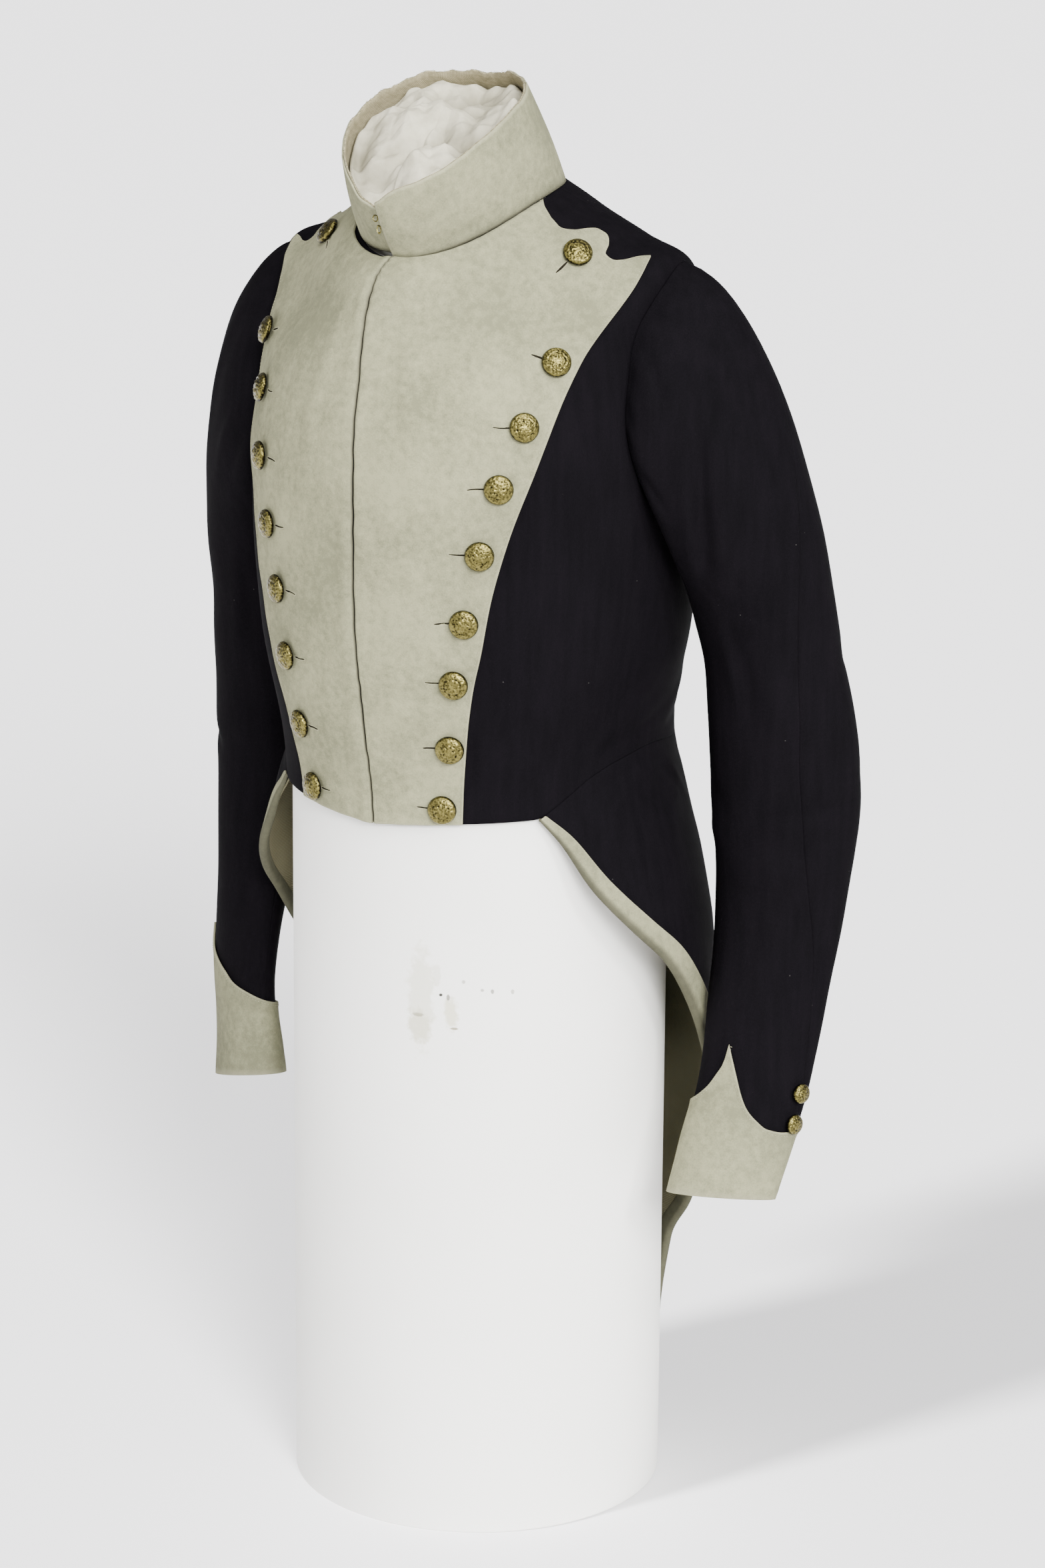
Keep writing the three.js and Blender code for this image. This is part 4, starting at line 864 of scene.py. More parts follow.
collar_ends, collar_rows, collar_columns = (-1.2, 358.2), 26, 200
around = np.linspace(*collar_ends, collar_columns)[None, :] + np.zeros((collar_rows, 1))
climb = np.linspace(0, 1, collar_rows)[:, None] + np.zeros((1, collar_columns))
collar_creases = [
    (14, 0.15, 60, 0.1, 7, -0.9), (10, 0.35, 46, 0.3, 9, 0.8), (20, 0.62, 58, 0.78, 9, -0.6),
    (66, 0.5, 100, 0.32, 10, 0.7), (86, 0.75, 118, 0.62, 9, -0.6), (150, 0.4, 205, 0.35, 12, -0.7),
    (250, 0.3, 300, 0.4, 9, 0.7), (318, 0.5, 350, 0.3, 7, -0.7),
]
points = collar(around, climb)
normals = normals_of(collar, around, climb)
swell = creased(points, collar, collar_creases) + 0.6 * unevenness(points)
points = points + normals * (swell * (1 - 0.5 * climb))[..., None]
collar_piece = cloth("collar_cloth", points, normals, 0, facing_wall, facing_cloth)
# Painted shade along the collar's foot, where it meets the lapels.
foot_painted_shade = np.repeat([0.75, 0.4, 0.12] + [0.0] * (collar_rows - 3), collar_columns)
rest = np.zeros(len(collar_piece.data.vertices) - 2 * len(foot_painted_shade))
mark_painted_shade(collar_piece, foot_painted_shade, foot_painted_shade, rest)
keep(collar_piece, "facing_cloth", "collar")

# Tan linen, plain woven of slubby yarns about 0.6 mm apart: a small even check with thick threads.
linen, tree, shader, place = new_material("tan_plain_linen")
cut = add_node(tree, 'ShaderNodeUVMap', uv_map="cut")
warp = add_node(tree, 'ShaderNodeTexWave', {"Vector": cut.outputs["UV"], "Scale": 260.0, "Distortion": 1.5,
                                            "Detail": 2.0, "Detail Scale": 1.5}, bands_direction='X')
weft = add_node(tree, 'ShaderNodeTexWave', {"Vector": cut.outputs["UV"], "Scale": 260.0, "Distortion": 1.5,
                                            "Detail": 2.0, "Detail Scale": 1.5}, bands_direction='Y')
weave = add_node(tree, 'ShaderNodeMath', {0: warp.outputs["Fac"], 1: weft.outputs["Fac"]},
                 operation='MULTIPLY')
slubs = add_node(tree, 'ShaderNodeTexNoise', {"Vector": cut.outputs["UV"], "Scale": 190.0, "Detail": 3.0})
yarn = add_node(tree, 'ShaderNodeMix', {0: 0.5, 2: weave.outputs[0], 3: slubs.outputs["Fac"]})
tan = add_node(tree, 'ShaderNodeValToRGB', {"Fac": yarn.outputs[0]})
dark, pale = tan.color_ramp.elements
dark.position, dark.color = 0.2, linear("#666049")
pale.position, pale.color = 0.7, linear("#9d9478")
tree.links.new(tan.outputs["Color"], shader.inputs["Base Color"])
shader.inputs["Roughness"].default_value = 0.9
shader.inputs["Specular IOR Level"].default_value = 0.2
bumps = add_node(tree, 'ShaderNodeBump', {"Strength": 0.6, "Distance": 0.0004, "Height": yarn.outputs[0]})
tree.links.new(bumps.outputs["Normal"], shader.inputs["Normal"])

# Its top edge stands a little above the facing at the back and is frayed.
fray = smooth(around[0], 95, 150) * (1 - smooth(around[0], 335, 352))
loose = np.random.default_rng(5).uniform(0.1, 1.0, len(fray))
upward = unit(points[-1] - points[-2])
points[-1] += upward * (fray * (0.7 + 1.5 * loose))[:, None]
frayed = []
for step in range(3):
    shaky = np.random.default_rng(step).uniform(-0.7, 0.9, (len(fray), 1))
    line = points[-1] - normals[-1] * (1.6 + 0.5 * step) + upward * (shaky - 0.2 * step)
    frayed.append(line[(around[0] > 100) & (around[0] < 345)])
sewn("collar_rim_threads", frayed, 1.7, (1.9, 0.3, 0.3), "linen")
collar_lining = cloth("collar_lining_cloth", points, normals, -facing_wall - seam_gap + 0.25,
                      lining_wall, linen)
keep(collar_lining, "linen", "collar_lining")


# ---- tails ----
# Long tails of broadcloth sewn on at the waist seam, cut away at the front and lined with
# off-white serge. The facing cloth is turned back round their front edges as a strip.
cutaway_edge = np.array([
    [0, 49.9, 552.6], [0.05, 56, 535], [0.12, 64.5, 499], [0.19, 74.5, 467], [0.26, 84.5, 439],
    [0.33, 92.5, 409], [0.41, 100.6, 376], [0.52, 114, 322], [0.66, 131, 250], [0.76, 140, 195],
    [0.84, 149, 156], [1, 152, 55],
])
skirt_flare = np.array([
    [0, 0], [15, 2.5], [30, 6.5], [60, 14], [90, 22], [120, 27.5], [150, 31.5], [200, 34], [300, 34.5],
    [345, 32.5], [392, 28], [431, 24], [482, 19], [540, 17],
])
turnback_width = np.array([[0, 4], [0.05, 7], [0.12, 9.5], [0.26, 13], [0.39, 18.5], [0.5, 24], [1, 30]])
tail_hem, pleat_line, pleat_width = 55, 0.845, 0.02


def seam_point(angle):
    return body(angle, waist_level(angle) - 0.015)


def turnback_share(down):
    width = np.maximum(np.radians(back_middle - flowing(cutaway_edge[:, :2], down)) * 165, 1)
    return flowing(turnback_width, down) / width


def tail(across, down):
    """A tail's outer surface: across from its front edge to the centre back, down from the waist."""
    across, down = np.broadcast_arrays(across, down)
    edge = flowing(cutaway_edge[:, :2], down)
    angle = edge + (back_middle - edge) * across
    seam = seam_point(cutaway_angle + (back_middle - cutaway_angle) * across)[..., 2]
    corner = seam_point(np.array(cutaway_angle))[2]
    edge_rise = flowing(cutaway_edge[:, [0, 2]], down) - (corner + (tail_hem - corner) * down)
    z = seam + (tail_hem - seam) * down + np.where(down > 0, (1 - across) * edge_rise, 0)
    top = seam_point(angle)
    drop = np.maximum(top[..., 2] - z, 0)
    share, first = turnback_share(down), turnback_share(np.array(0.0))
    line = first + (across - share) / (1 - share) * (1 - first)
    pleat = 4 * smooth(drop, 0, 60) * smooth(line, pleat_line - pleat_width, pleat_line)
    radius = np.hypot(top[..., 0], top[..., 1]) + flowing(skirt_flare, drop) + pleat
    bearing = np.arctan2(top[..., 0], -top[..., 1])
    return np.stack([radius * np.sin(bearing), -radius * np.cos(bearing), z], -1)


tail_creases = [
    (0.195, -0.01, 0.23, 0.075, 1.6, -1.5), (0.228, 0.068, 0.30, 0.128, 1.6, -1.5),
    (0.21, 0.0, 0.28, 0.1, 7, 1.3), (0.05, 0.03, 0.22, 0.02, 6, -1.0), (0.08, 0.07, 0.3, 0.03, 7, 1.2),
    (0.12, 0.12, 0.36, 0.04, 8, -1.1), (0.2, 0.16, 0.42, 0.05, 9, 1.0),
    (0.3, 0.02, 0.4, 0.1, 3.5, -1.3), (0.34, 0.03, 0.45, 0.12, 8, 1.1), (0.35, 0.3, 0.3, 0.75, 26, 2.0),
    (0.6, 0.18, 0.55, 0.9, 24, -2.4), (0.75, 0.2, 0.78, 0.95, 14, 2.0), (0.2, 0.3, 0.12, 0.8, 14, -1.6),
]
tail_downs = np.concatenate([np.linspace(0, 0.1, 30, endpoint=False), np.linspace(0.1, 1, 110)])


def tail_grid(side, acrosses):
    across = np.broadcast_to(acrosses, (len(tail_downs), acrosses.shape[-1]))
    down = np.broadcast_to(tail_downs[:, None], across.shape)
    points = tail(across, down)
    normals = -normals_of(tail, across, down)
    height = creased(points, tail, tail_creases) * smooth(down, 0, 0.04)
    points, normals = on_side(side, points, normals)
    return points + normals * (height + unevenness(points) * smooth(down, 0, 0.03))[..., None], normals


# Off-white wool serge: a fine twill whose slanting ribs stand about 0.8 mm apart, dulled with age.
serge, tree, shader, place = new_material("off_white_serge")
cut = add_node(tree, 'ShaderNodeUVMap', uv_map="cut")
slant = add_node(tree, 'ShaderNodeMapping', {"Vector": cut.outputs["UV"], "Rotation": (0, 0, 0.9)})
ribs = add_node(tree, 'ShaderNodeTexWave', {"Vector": slant.outputs["Vector"], "Scale": 200.0,
                                            "Distortion": 1.0, "Detail": 2.0}, bands_direction='X')
age = add_node(tree, 'ShaderNodeTexNoise', {"Vector": place, "Scale": 16.0, "Detail": 4.0})
serge_mix = add_node(tree, 'ShaderNodeMix', {0: 0.6, 2: ribs.outputs["Fac"], 3: age.outputs["Fac"]})
serge_tone = add_node(tree, 'ShaderNodeValToRGB', {"Fac": serge_mix.outputs[0]})
dark, pale = serge_tone.color_ramp.elements
dark.position, dark.color = 0.3, linear("#58543e")
pale.position, pale.color = 0.7, linear("#726e57")
tree.links.new(serge_tone.outputs["Color"], shader.inputs["Base Color"])
shader.inputs["Roughness"].default_value = 0.92
shader.inputs["Specular IOR Level"].default_value = 0.2
bumps = add_node(tree, 'ShaderNodeBump', {"Strength": 0.4, "Distance": 0.0004, "Height": ribs.outputs["Fac"]})
tree.links.new(bumps.outputs["Normal"], shader.inputs["Normal"])


def turnback_grid(side):
    """The strip lies on the tail, rolls round its edge and ends a little way in on the lining."""
    share = turnback_share(tail_downs)[:, None]
    out_side, out_normals = tail_grid(side, share * np.linspace(1, 0, 12)[None, :])
    in_side, in_normals = tail_grid(side, share * np.linspace(0, 0.35, 5)[None, :])
    small = (0.25 + 0.75 * smooth(tail_downs, 0.0, 0.12))[:, None, None]
    outer_face = seam_gap + facing_wall / 2
    depth = outer_face + cloth_wall + lining_wall + 2 * seam_gap + facing_wall / 2
    edge, edge_normal = out_side[:, -1], out_normals[:, -1]
    away = unit(out_side[:, -1] - out_side[:, -2])
    turns = np.linspace(math.pi / 2, -math.pi / 2, 9)[1:-1]
    roll = depth / 2 * small
    middle = edge[:, None] + edge_normal[:, None] * (outer_face - roll)
    rolled_normals = (edge_normal[:, None] * np.sin(turns)[None, :, None]
                      + away[:, None] * np.cos(turns)[None, :, None])
    rolled = middle + rolled_normals * roll
    flat_out = out_side + out_normals * outer_face
    flat_in = in_side + in_normals * (outer_face - 2 * roll)
    return (np.concatenate([flat_out, rolled, flat_in], 1),
            np.concatenate([out_normals, rolled_normals, -in_normals], 1))


for side in ("left", "right"):
    share = turnback_share(tail_downs)[:, None]
    beyond = np.concatenate([np.linspace(0, 0.9, 44, endpoint=False), np.linspace(0.9, 1, 8)])[None, :]
    before = share * np.linspace(0.02, 1, 8, endpoint=False)[None, :]
    points, normals = tail_grid(side, np.concatenate([before, share + (1 - share) * beyond], 1))
    skirt = cloth(f"tail_{side}_cloth", points, normals, 0, cloth_wall, broadcloth)
    keep(skirt, "navy_broadcloth", f"tail_{side}")
    lining = cloth(f"tail_lining_{side}_cloth", points, normals, -cloth_wall - seam_gap, lining_wall, serge)
    keep(lining, "tail_serge", f"tail_lining_{side}")
    points, normals = turnback_grid(side)
    strip = cloth(f"turnback_{side}_cloth", points, normals, facing_wall / 2, facing_wall, facing_cloth)
    # Painted shade: a little over the outer strip, deepening towards its edge, and dark over the roll and the
    # part on the lining, which turn away from the light; the cut edge is shaded too.
    painted_shade_share = np.tile(np.concatenate([np.full(9, 0.12), [0.2, 0.4, 0.62], np.full(12, 0.78)]), 2 * len(points))
    rest = np.full(len(strip.data.vertices) - len(painted_shade_share), 0.3)
    mark_painted_shade(strip, painted_shade_share, rest)
    keep(strip, "facing_cloth", f"turnback_{side}")


# ---- sleeves ----
# Two-piece sleeves of broadcloth, full at the head and bent at the elbow, eased into the
# armhole; a fore-arm seam lies inside and a hind-arm seam behind.

# Sections as height, place outwards and back, half of the long and short axis, and the two seams.
sleeve_sections = {
    "left": np.array([
        [690, 216, 41, 52.0, 44.0, 50, 146], [655, 219, 50, 51.0, 44.0, 48, 139],
        [620, 222, 54.5, 53.0, 45.0, 45, 135], [585, 224, 59, 54.7, 44.0, 42, 131],
        [550, 225, 61.5, 54.5, 43.0, 40, 132], [515, 225, 61.5, 51.5, 40.0, 38, 136],
        [480, 223, 62, 48.6, 36.0, 36, 144], [440, 221, 58.5, 46.0, 31.0, 34, 157],
        [400, 219, 51, 44.0, 28.0, 32, 167], [360, 217, 44, 42.0, 26.0, 30, 176],
        [330, 216, 35, 41.0, 25.0, 30, 184], [300, 214.3, 20.3, 40.5, 24.0, 30, 188],
        [262, 211.5, 2, 38.0, 22.0, 30, 190],
    ]),
    "right": np.array([
        [690, 215, 30, 52.0, 44.0, 50, 190], [655, 218, 39, 51.0, 44.0, 48, 192],
        [620, 221, 46, 53.0, 45.0, 45, 196], [585, 224, 50, 54.5, 44.0, 42, 200],
        [550, 225.5, 51, 54.0, 43.0, 40, 204], [515, 226, 48, 51.5, 39.5, 38, 206],
        [480, 226, 39, 48.0, 34.0, 36, 208], [440, 225, 26, 46.0, 26.5, 34, 210],
        [400, 223, 13, 44.0, 21.0, 32, 212], [360, 219.6, 3, 41.0, 18.5, 30, 214],
        [330, 214.5, -3, 40.5, 18.5, 30, 216], [300, 210, -6, 41.0, 20.5, 30, 216],
        [281, 207.5, -8, 41.0, 22.0, 30, 216],
    ]),
}
sleeve_turn = math.radians(32.2)
wrist_tilt = {"left": (0.09, -0.25), "right": (-0.21, -0.19)}
sleeve_head = {"left": (165, 95), "right": (158, 72)}
sleeve_end = 12


def sleeve_section(side, angle, section):
    row = between_rows(sleeve_sections[side], section)
    beta = np.radians(angle - 180) - sleeve_turn
    long, short = row[..., 3] * np.cos(beta), row[..., 4] * np.sin(beta)
    x = long * math.cos(sleeve_turn) - short * math.sin(sleeve_turn)
    y = long * math.sin(sleeve_turn) + short * math.cos(sleeve_turn)
    rise = smooth(section, 9, sleeve_end) * (wrist_tilt[side][0] * x + wrist_tilt[side][1] * y)
    return np.stack([row[..., 1] + x, row[..., 2] + y, row[..., 0] + rise], -1)


def sleeve(side, angle, along):
    """A sleeve's outer surface: along runs from -1 at the armhole through 0 to 12 at the wrist."""
    angle, along = np.broadcast_arrays(np.asarray(angle, float), np.asarray(along, float))
    a = np.radians(angle)
    hole_half = np.where(np.sin(a) > 0, armhole_front, armhole_back) - 0.13
    start = body(armhole_angle - hole_half * np.sin(a), armhole_level - (armhole_reach - 0.009) * np.cos(a))
    end = sleeve_section(side, angle, np.zeros_like(along))
    leave_length, leave_swing = sleeve_head[side]
    leave = unit(np.stack([0.7 - 0.3 * np.cos(a), -0.3 * np.sin(a), -0.65 - 0.25 * np.cos(a)], -1))
    leave = leave * (leave_length - leave_swing * np.cos(a))[..., None]
    arrive = unit(sleeve_section(side, angle, np.full_like(along, 0.5)) - end)
    arrive = arrive * (120 - 55 * np.cos(a))[..., None]
    head = hermite(start, leave, end, arrive, (np.minimum(along, 0) + 1)[..., None])
    return np.where((along < 0)[..., None], head, sleeve_section(side, angle, np.maximum(along, 0)))


def sleeve_normal(side, angle, along):
    angle, along = np.broadcast_arrays(np.asarray(angle, float), np.asarray(along, float))
    low, high = np.maximum(along - 0.02, -1), np.minimum(along + 0.02, sleeve_end)
    around_it = sleeve(side, angle + 1, along) - sleeve(side, angle - 1, along)
    return unit(np.cross(sleeve(side, angle, high) - sleeve(side, angle, low), around_it))


def sleeve_seam(side, column, along):
    hanging = between_rows(sleeve_sections[side], np.maximum(along, 0))[..., column]
    at_armhole = 52 if column == 5 else 236
    first = sleeve_sections[side][0, column]
    head = first + (at_armhole - first) * np.maximum(-along, 0) ** 1.3
    return np.where(along < 0, head, hanging)


# Creases on a sleeve: from and to as angle and place along, then width and height. Those on the
# inner side, which rubs on the body, are alike on both.
inner_creases = [
    (200, 1.0, 260, 0.2, 10, -1.8), (210, 3.4, 290, 4.2, 9, -2.0), (220, 4.6, 300, 5.0, 8, 1.8),
    (230, -0.6, 300, -0.2, 9, -2.0), (300, 0.6, 350, 1.4, 9, 2.0), (290, 5.8, 350, 5.2, 9, -1.8),
]
sleeve_creases = {
    "left": [
        (129, -0.72, 80, -0.24, 5.5, -4.2), (140, -0.74, 96, -0.2, 7, 2.2), (112, -0.7, 74, -0.34, 6, 2.0),
        (122, -0.95, 114, -0.8, 3, -1.8), (134, -0.93, 126, -0.74, 5, 1.2), (146, -0.9, 142, -0.5, 8, 1.3),
        (72, -0.93, 79, -0.6, 4, -1.8), (156, -0.88, 160, -0.4, 8, -1.3), (78, -0.2, 84, 1.8, 7, 1.6),
        (92, -0.1, 98, 2.4, 8, -1.4), (112, 0.2, 118, 2.8, 9, 1.2), (128, 0.3, 132, 2.6, 7, -0.8),
        (133, 3.96, 182, 3.87, 3.6, -2.4), (120, 4.35, 170, 4.3, 7, 1.5), (128, 3.5, 176, 3.4, 8, 1.2),
        (90, 4.2, 134, 3.97, 5, -1.5), (60, 4.9, 112, 4.4, 8, -1.4), (70, 5.6, 130, 5.3, 9, 1.1),
        (96, 5.9, 140, 6.4, 9, -0.9), (70, 7.2, 130, 8.0, 9, -0.9), (60, 8.6, 110, 9.0, 8, 0.8),
        *inner_creases,
        (30, 3.2, 70, 4.2, 9, -1.5), (20, 4.6, 60, 4.6, 9, 1.5),
    ],
    "right": [
        (70, -0.95, 92, -0.45, 5, -2.0), (86, -0.9, 112, -0.35, 7, 2.0), (60, -0.6, 76, 0.6, 6, -2.2),
        (90, -0.35, 94, 2.6, 8, 1.8), (80, -0.2, 84, 2.2, 7, -1.8), (136, -0.88, 140, -0.3, 9, 1.4),
        (40, 2.6, 100, 3.6, 9, -1.5), (50, 3.4, 110, 4.2, 9, 1.6), (120, 4.6, 175, 4.1, 6, -2.0),
        (44, 4.4, 100, 4.9, 9, -1.6), (60, 5.8, 120, 6.4, 10, 1.2), (70, 7.2, 130, 8.0, 9, -1.0),
        *inner_creases,
    ],
}


def on_sleeve(side, angle, along):
    """Places on a settled sleeve; near the armhole the fullness of the head is eased in as small gathers."""
    points, normals = sleeve(side, angle, along), sleeve_normal(side, angle, along)
    gathers = 0.5 * np.sin(np.radians(angle) * 26) * np.exp(-((along + 0.96) / 0.05) ** 2)
    upper = smooth(np.cos(np.radians(angle - 160)), -0.2, 0.4)
    roll = 1.5 * np.exp(-((along + 0.9) / 0.08) ** 2) * smooth(along, -1, -0.95)
    held = smooth(along, -1, -0.94)
    height = creased(points, lambda u, v: sleeve(side, u, v), sleeve_creases[side]) * held
    height = height + (gathers + roll) * upper
    points, normals = on_side(side, points, normals)
    return points + normals * (height + unevenness(points) * held)[..., None], normals


sleeve_alongs = np.concatenate([[-1.015], np.linspace(-1, 0, 64, endpoint=False),
                                np.linspace(0, sleeve_end, 110)])
sleeve_shares = np.linspace(0, 1, 60)
for side in ("left", "right"):
    fore, hind = sleeve_seam(side, 5, sleeve_alongs), sleeve_seam(side, 6, sleeve_alongs)
    for part, start, end in (("top", fore, hind), ("under", hind, fore + 360)):
        angle = start[:, None] + 0.2 + (end - start - 0.4)[:, None] * sleeve_shares[None, :]
        points, normals = on_sleeve(side, angle, np.broadcast_to(sleeve_alongs[:, None], angle.shape))
        piece = cloth(f"sleeve_{part}_{side}_cloth", points, normals, 0, cloth_wall, broadcloth)
        keep(piece, "navy_broadcloth", f"sleeve_{part}_{side}")


# ---- cuffs ----
# Round cuffs of the facing cloth drawn over the sleeve ends, rising to a point in front.
cuff_top = {
    "left": np.array([
        [0, 60], [30, 62], [47, 65.6], [66, 75.2], [78, 88.4], [84.7, 98], [87.3, 111], [92.2, 101.2],
        [99.7, 88.4], [109.5, 71.6], [119.2, 60.8], [132, 52.4], [146, 46.4], [169, 44], [206, 44],
        [240, 47], [300, 56], [360, 60],
    ]),
    "right": np.array([
        [0, 59], [31.5, 63.4], [66, 69.4], [98, 74.2], [114, 79], [136, 85.4], [162.8, 93.4], [173, 99],
        [178.8, 107], [185, 95], [197, 76], [215, 60], [240, 52], [300, 53], [345, 57], [360, 59],
    ]),
}
cuff_tip = {"left": 87.3, "right": 178.8}
# Painted shade spread evenly over each cuff, more on the right cuff on the far side of the coat.
cuff_painted_shade = {"left": 0.1, "right": 0.2}
cuff_rows, cuff_columns = 34, 144
# Heights of the cuff buttons above the wrist, and their degrees in front of the hind seam.
cuff_button_heights = {"left": (73, 50), "right": (82, 64)}
cuff_button_turn = {"left": 8.5, "right": 2}


def along_at(side, height):
    """Place along the sleeve at a height above its wrist."""
    heights = sleeve_sections[side][::-1, 0] - sleeve_sections[side][-1, 0]
    return np.interp(height, heights, np.arange(sleeve_end, -1, -1))


def cuff_along(side, angle, down):
    """Place along the sleeve of a cuff's line, from its pointed top (0) to the wrist (1)."""
    return along_at(side, flowing(cuff_top[side], np.mod(angle, 360), corners=(cuff_tip[side],)) * (1 - down))


for side in ("left", "right"):
    ring_angle = np.linspace(0, 360, cuff_columns, endpoint=False)[None, :] + np.zeros((cuff_rows, 1))
    down = np.linspace(0, 1, cuff_rows)[:, None] + np.zeros((1, cuff_columns))
    points, normals = on_sleeve(side, ring_angle, cuff_along(side, ring_angle, down))
    points[-1] += unit(points[-1] - points[-4]) * 2.5
    flare = (0.5 * smooth(down, 0.7, 1) + 0.5 * np.exp(-(down / 0.06) ** 2))[..., None]
    cuff = cloth(f"cuff_{side}_cloth", points + normals * flare, normals, seam_gap + facing_wall, facing_wall,
                 facing_cloth, closed=True)
    mark_painted_shade(cuff, np.full(len(cuff.data.vertices), cuff_painted_shade[side]))
    keep(cuff, "facing_cloth", f"cuff_{side}")
    rim, further = np.vstack([points[0], points[0, :2]]), np.vstack([points[6], points[6, :2]])
    rim_line = inside_edge(rim, np.vstack([normals[0], normals[0, :2]]), further,
                           seam_gap + facing_wall + 0.5, 2.3)
    sewn(f"cuff_{side}_stitches", [rim_line], prick_spacing, prick_size)
    places = []
    for height in cuff_button_heights[side]:
        along = along_at(side, height)
        angle = sleeve_seam(side, 6, np.array(along)) - cuff_button_turn[side]
        point, normal = on_side(side, sleeve(side, angle, along), sleeve_normal(side, angle, along))
        places.append((point + normal * 2.9, normal))
    pair = button_set(f"cuff_buttons_{side}", cuff_button, places)
    keep(pair, "gilt_brass", f"cuff_button_{side}_1", f"cuff_button_{side}_2")


# ---- stand ----
# A smooth white-painted board cylinder, a covered form under the coat, and wadding paper
# crumpled up to fill the neck.
painted, tree, shader, place = new_material("white_painted_board")
tone = add_node(tree, 'ShaderNodeTexNoise', {"Vector": place, "Scale": 5.0, "Detail": 3.0})
white = add_node(tree, 'ShaderNodeValToRGB', {"Fac": tone.outputs["Fac"]})
dark, pale = white.color_ramp.elements
dark.position, dark.color = 0.3, linear("#e6e5e0")
pale.position, pale.color = 0.7, linear("#edece7")
ragged = add_node(tree, 'ShaderNodeTexNoise', {"Vector": place, "Scale": 190.0, "Detail": 4.0})
surface_colour = white.outputs["Color"]
# Rubbed marks on the paint: degrees round from the front, height, half width, half height, strength, colour.
for turn, height, half_wide, half_high, strength, colour in (
    (15.2, 0.4180, 0.0105, 0.038, 0.7, "#cccab8"), (14.5, 0.3960, 0.0090, 0.014, 0.7, "#bdbaa4"),
    (24.2, 0.4060, 0.0056, 0.0125, 0.75, "#c2bea4"), (14.4, 0.4040, 0.0054, 0.0018, 0.8, "#87836f"),
    (21.2, 0.4205, 0.0014, 0.0014, 1.0, "#3a3833"), (23.4, 0.4190, 0.0012, 0.0024, 0.9, "#77746a"),
    (25.0, 0.3955, 0.0036, 0.0011, 0.9, "#827c62"), (28.0, 0.4310, 0.0014, 0.0014, 0.8, "#9a978d"),
    (33.5, 0.4250, 0.0016, 0.0013, 0.8, "#8b897f"), (36.5, 0.4240, 0.0013, 0.0018, 0.9, "#84827a"),
    (42.5, 0.4235, 0.0012, 0.0020, 0.8, "#9a978d"), (20.0, 0.4350, 0.0030, 0.0090, 0.5, "#c4c2b2"),
):
    size = Vector((1 / half_wide, 1 / half_wide, 1 / half_high))
    middle = Vector((0.14 * math.sin(math.radians(turn)), -0.14 * math.cos(math.radians(turn)), height))
    local = add_node(tree, 'ShaderNodeMapping', {"Vector": place, "Location": -middle * size,
                                                 "Scale": size})
    away = add_node(tree, 'ShaderNodeVectorMath', {0: local.outputs["Vector"]}, operation='LENGTH')
    torn = add_node(tree, 'ShaderNodeMath', {0: ragged.outputs["Fac"], 1: 1.4, 2: -0.7},
                    operation='MULTIPLY_ADD')
    rough_away = add_node(tree, 'ShaderNodeMath', {0: away.outputs["Value"], 1: torn.outputs[0]},
                          operation='ADD')
    spot = add_node(tree, 'ShaderNodeMapRange', {"Value": rough_away.outputs[0], "From Min": 1.1,
                                                 "From Max": 0.7, "To Max": strength})
    rubbed = add_node(tree, 'ShaderNodeMix', {0: spot.outputs["Result"], 6: surface_colour,
                                              7: linear(colour)}, data_type='RGBA')
    surface_colour = rubbed.outputs[2]
tree.links.new(surface_colour, shader.inputs["Base Color"])
shader.inputs["Roughness"].default_value = 0.6
shader.inputs["Specular IOR Level"].default_value = 0.25
tube_columns = 256
turns = np.linspace(0, 2 * math.pi, tube_columns, endpoint=False)
profile = [(136, 0), (138.6, 0.4), (139.7, 1.2), (140, 2.4), (140, 120), (140, 240), (140, 360), (140, 480),
           (140, 559.6), (139.7, 560.8), (138.6, 561.6), (136, 562)]
points = np.array([[(r * math.sin(t), -r * math.cos(t), z) for t in turns] for r, z in profile])


def ring_faces(rings, around):
    """Faces between closed rings of points."""
    return [(ring * around + k, ring * around + (k + 1) % around,
             (ring + 1) * around + (k + 1) % around, (ring + 1) * around + k)
            for ring in range(rings - 1) for k in range(around)]


faces = ring_faces(len(profile), tube_columns)
last_ring = (len(profile) - 1) * tube_columns
faces += [tuple(range(tube_columns - 1, -1, -1)), tuple(range(last_ring, last_ring + tube_columns))]
tube = make_object("stand_cylinder_painted", points.reshape(-1, 3) / 1000, faces, painted)
keep(tube, "painted_board", "stand_cylinder")

calico, tree, shader, place = new_material("white_calico_cover")
threads = add_node(tree, 'ShaderNodeTexNoise', {"Vector": place, "Scale": 900.0, "Detail": 2.0})
cover = add_node(tree, 'ShaderNodeValToRGB', {"Fac": threads.outputs["Fac"]})
dark, pale = cover.color_ramp.elements
dark.color = linear("#cfcdc6")
pale.color = linear("#e6e4de")
tree.links.new(cover.outputs["Color"], shader.inputs["Base Color"])
shader.inputs["Roughness"].default_value = 0.9


def finish_solid(name, material):
    """Gives a solid that shows as it is its material."""
    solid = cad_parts[name]
    solid.data.materials.clear()
    solid.data.materials.append(material)


finish_solid("stand_form", calico)
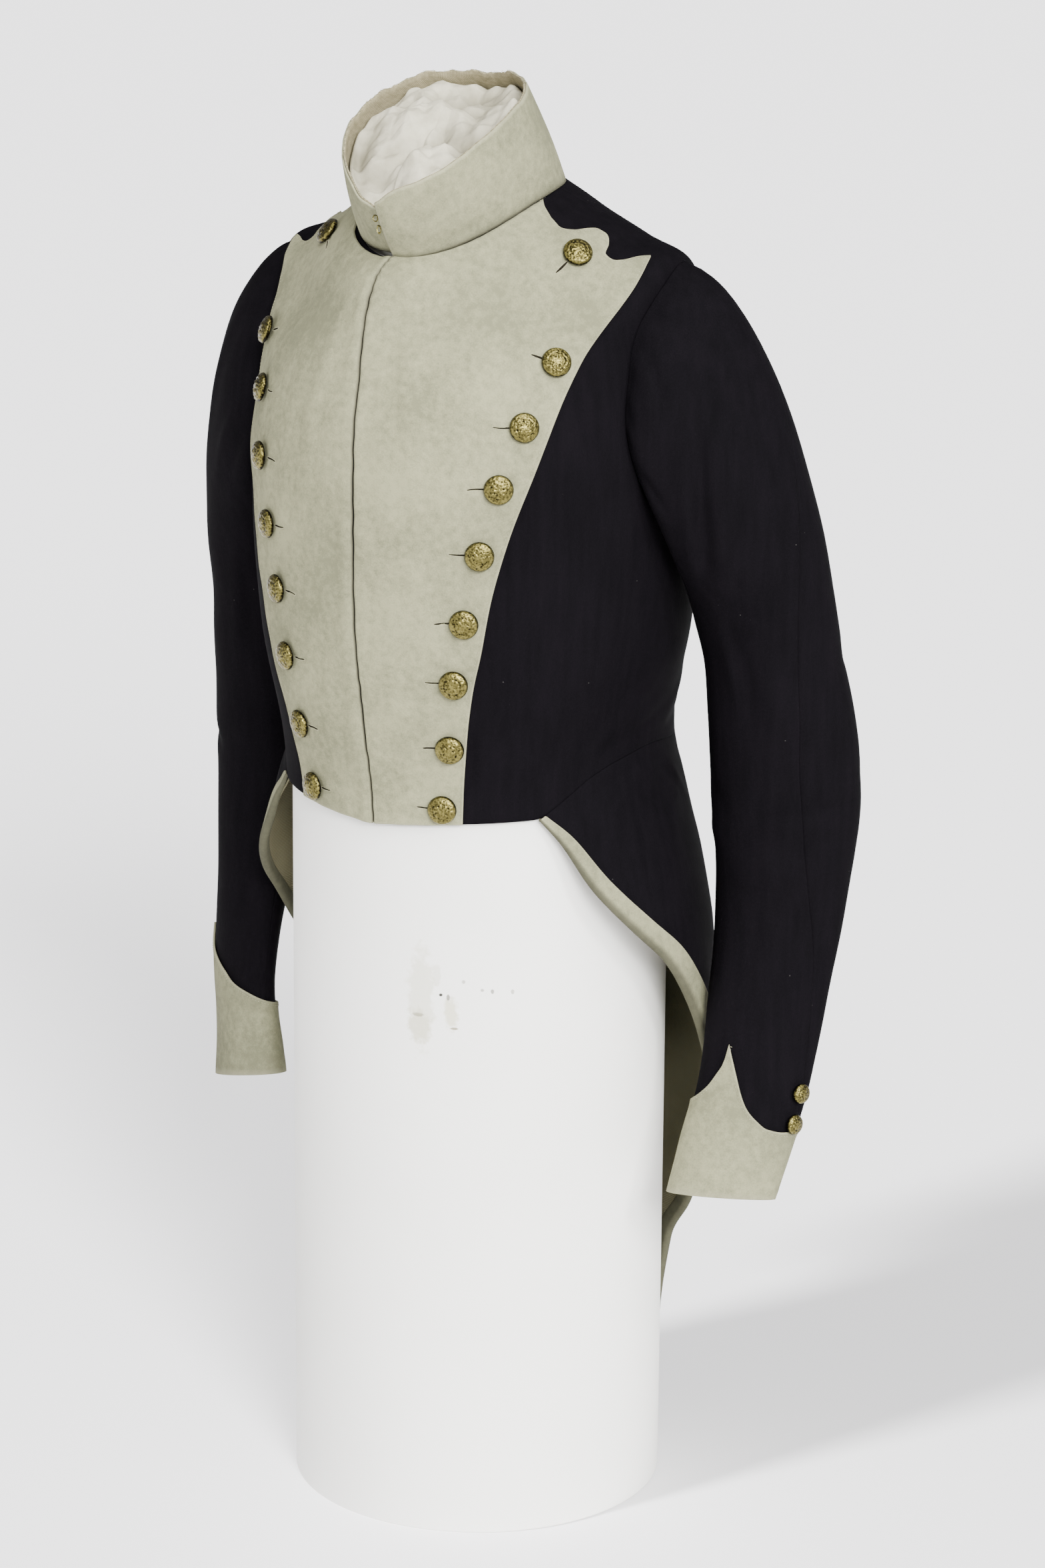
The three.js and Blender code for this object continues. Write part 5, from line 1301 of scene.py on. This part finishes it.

# White wadding paper, crumpled by hand: soft broken facets with pale creases, and painted shade in its sunken
# folds.
wadding, tree, shader, place = new_material("white_wadding_paper")
crumple = add_node(tree, 'ShaderNodeTexNoise', {"Vector": place, "Scale": 70.0, "Detail": 5.0,
                                                "Roughness": 0.6})
paper_tone = add_node(tree, 'ShaderNodeValToRGB', {"Fac": crumple.outputs["Fac"]})
dark, pale = paper_tone.color_ramp.elements
dark.position, dark.color = 0.3, linear("#9b9682")
pale.position, pale.color = 0.7, linear("#bab5a1")
# Painted shade: the paper is darkened in its sunken folds.
fold_shade_amount = add_node(tree, 'ShaderNodeAttribute', attribute_name="painted_shade")
paper_with_painted_shade = add_node(tree, 'ShaderNodeMix', {0: fold_shade_amount.outputs["Fac"], 6: paper_tone.outputs["Color"],
                                               7: linear("#6f6b58")}, data_type='RGBA')
tree.links.new(paper_with_painted_shade.outputs[2], shader.inputs["Base Color"])
shader.inputs["Roughness"].default_value = 0.8
bumps = add_node(tree, 'ShaderNodeBump', {"Strength": 0.5, "Distance": 0.0015,
                                          "Height": crumple.outputs["Fac"]})
tree.links.new(bumps.outputs["Normal"], shader.inputs["Normal"])
neck_columns = 260
neck_angles = np.linspace(0, 360, neck_columns, endpoint=False)
crown = np.array([0, -58, 1037.0])


def neck_loop(up, inset):
    a = np.radians(neck_angles)
    out = np.stack([np.sin(a), -np.cos(a), 0 * a], -1)
    return collar(np.where(neck_angles < 1, 359.9, neck_angles), np.full_like(neck_angles, up)) - out * inset


loops = [neck_loop(up, inset) for up, inset in zip(np.linspace(0.06, 0.84, 16), np.linspace(10, 4.6, 16))]
for keep_share in np.linspace(0.97, 0.02, 70):
    rim_loop = neck_loop(0.86, 4.6)
    lift = np.array([0, 0, 5.0 * math.sin(math.pi * (1 - keep_share))])
    loops.append(crown + (rim_loop - crown) * keep_share + lift)
points = np.array(loops)


def facets(points):
    """Paper crushed by hand: flat facets that meet in sharp folds, large ones broken by smaller."""
    x, y, z = np.moveaxis(points, -1, 0)
    height = np.zeros(x.shape)
    for length, turn, rise, bend in (
        (46, 0.4, 4.2, 9), (33, 1.9, 3.2, 7), (21, 2.7, 2.0, 5), (15, 1.1, 1.4, 4),
        (9.5, 0.1, 0.8, 2), (7.0, 2.2, 0.6, 2),
    ):
        along = x * math.cos(turn) + y * math.sin(turn)
        beside = y * math.cos(turn) - x * math.sin(turn)
        phase = (along + bend * np.abs((beside / (length * 0.8)) % 2 - 1) + 0.3 * z) / length
        height += rise * (np.abs(phase % 2 - 1) - 0.5)
    return height


weight = smooth(np.arange(len(loops)), 11, 22)[:, None]
crush = facets(points)
points[..., 2] += crush * 2.9 * weight - 2 * weight
# Painted shade: the lower a facet lies among the folds, the darker it is painted.
fold_painted_shade = np.clip(0.2 - crush / 4, 0, 1) * 0.9
points = np.concatenate([points.reshape(-1, 3), [points[-1].mean(0), points[0].mean(0)]])
count = len(loops) * neck_columns
faces = ring_faces(len(loops), neck_columns)
for k in range(neck_columns):
    ahead = (k + 1) % neck_columns
    faces.append((count, count - neck_columns + k, count - neck_columns + ahead))
for k in range(neck_columns):
    faces.append((count + 1, (k + 1) % neck_columns, k))
neck = make_object("stand_neck_wadding", points / 1000, faces, wadding)
mark_painted_shade(neck, fold_painted_shade.ravel(), [0, 0])
keep(neck, "stuffing", "stand_neck")

# The brass hooks show as they are.
for name in ("collar_eye", "collar_hook", "waist_hook_left"):
    finish_solid(name, gilt_brass)
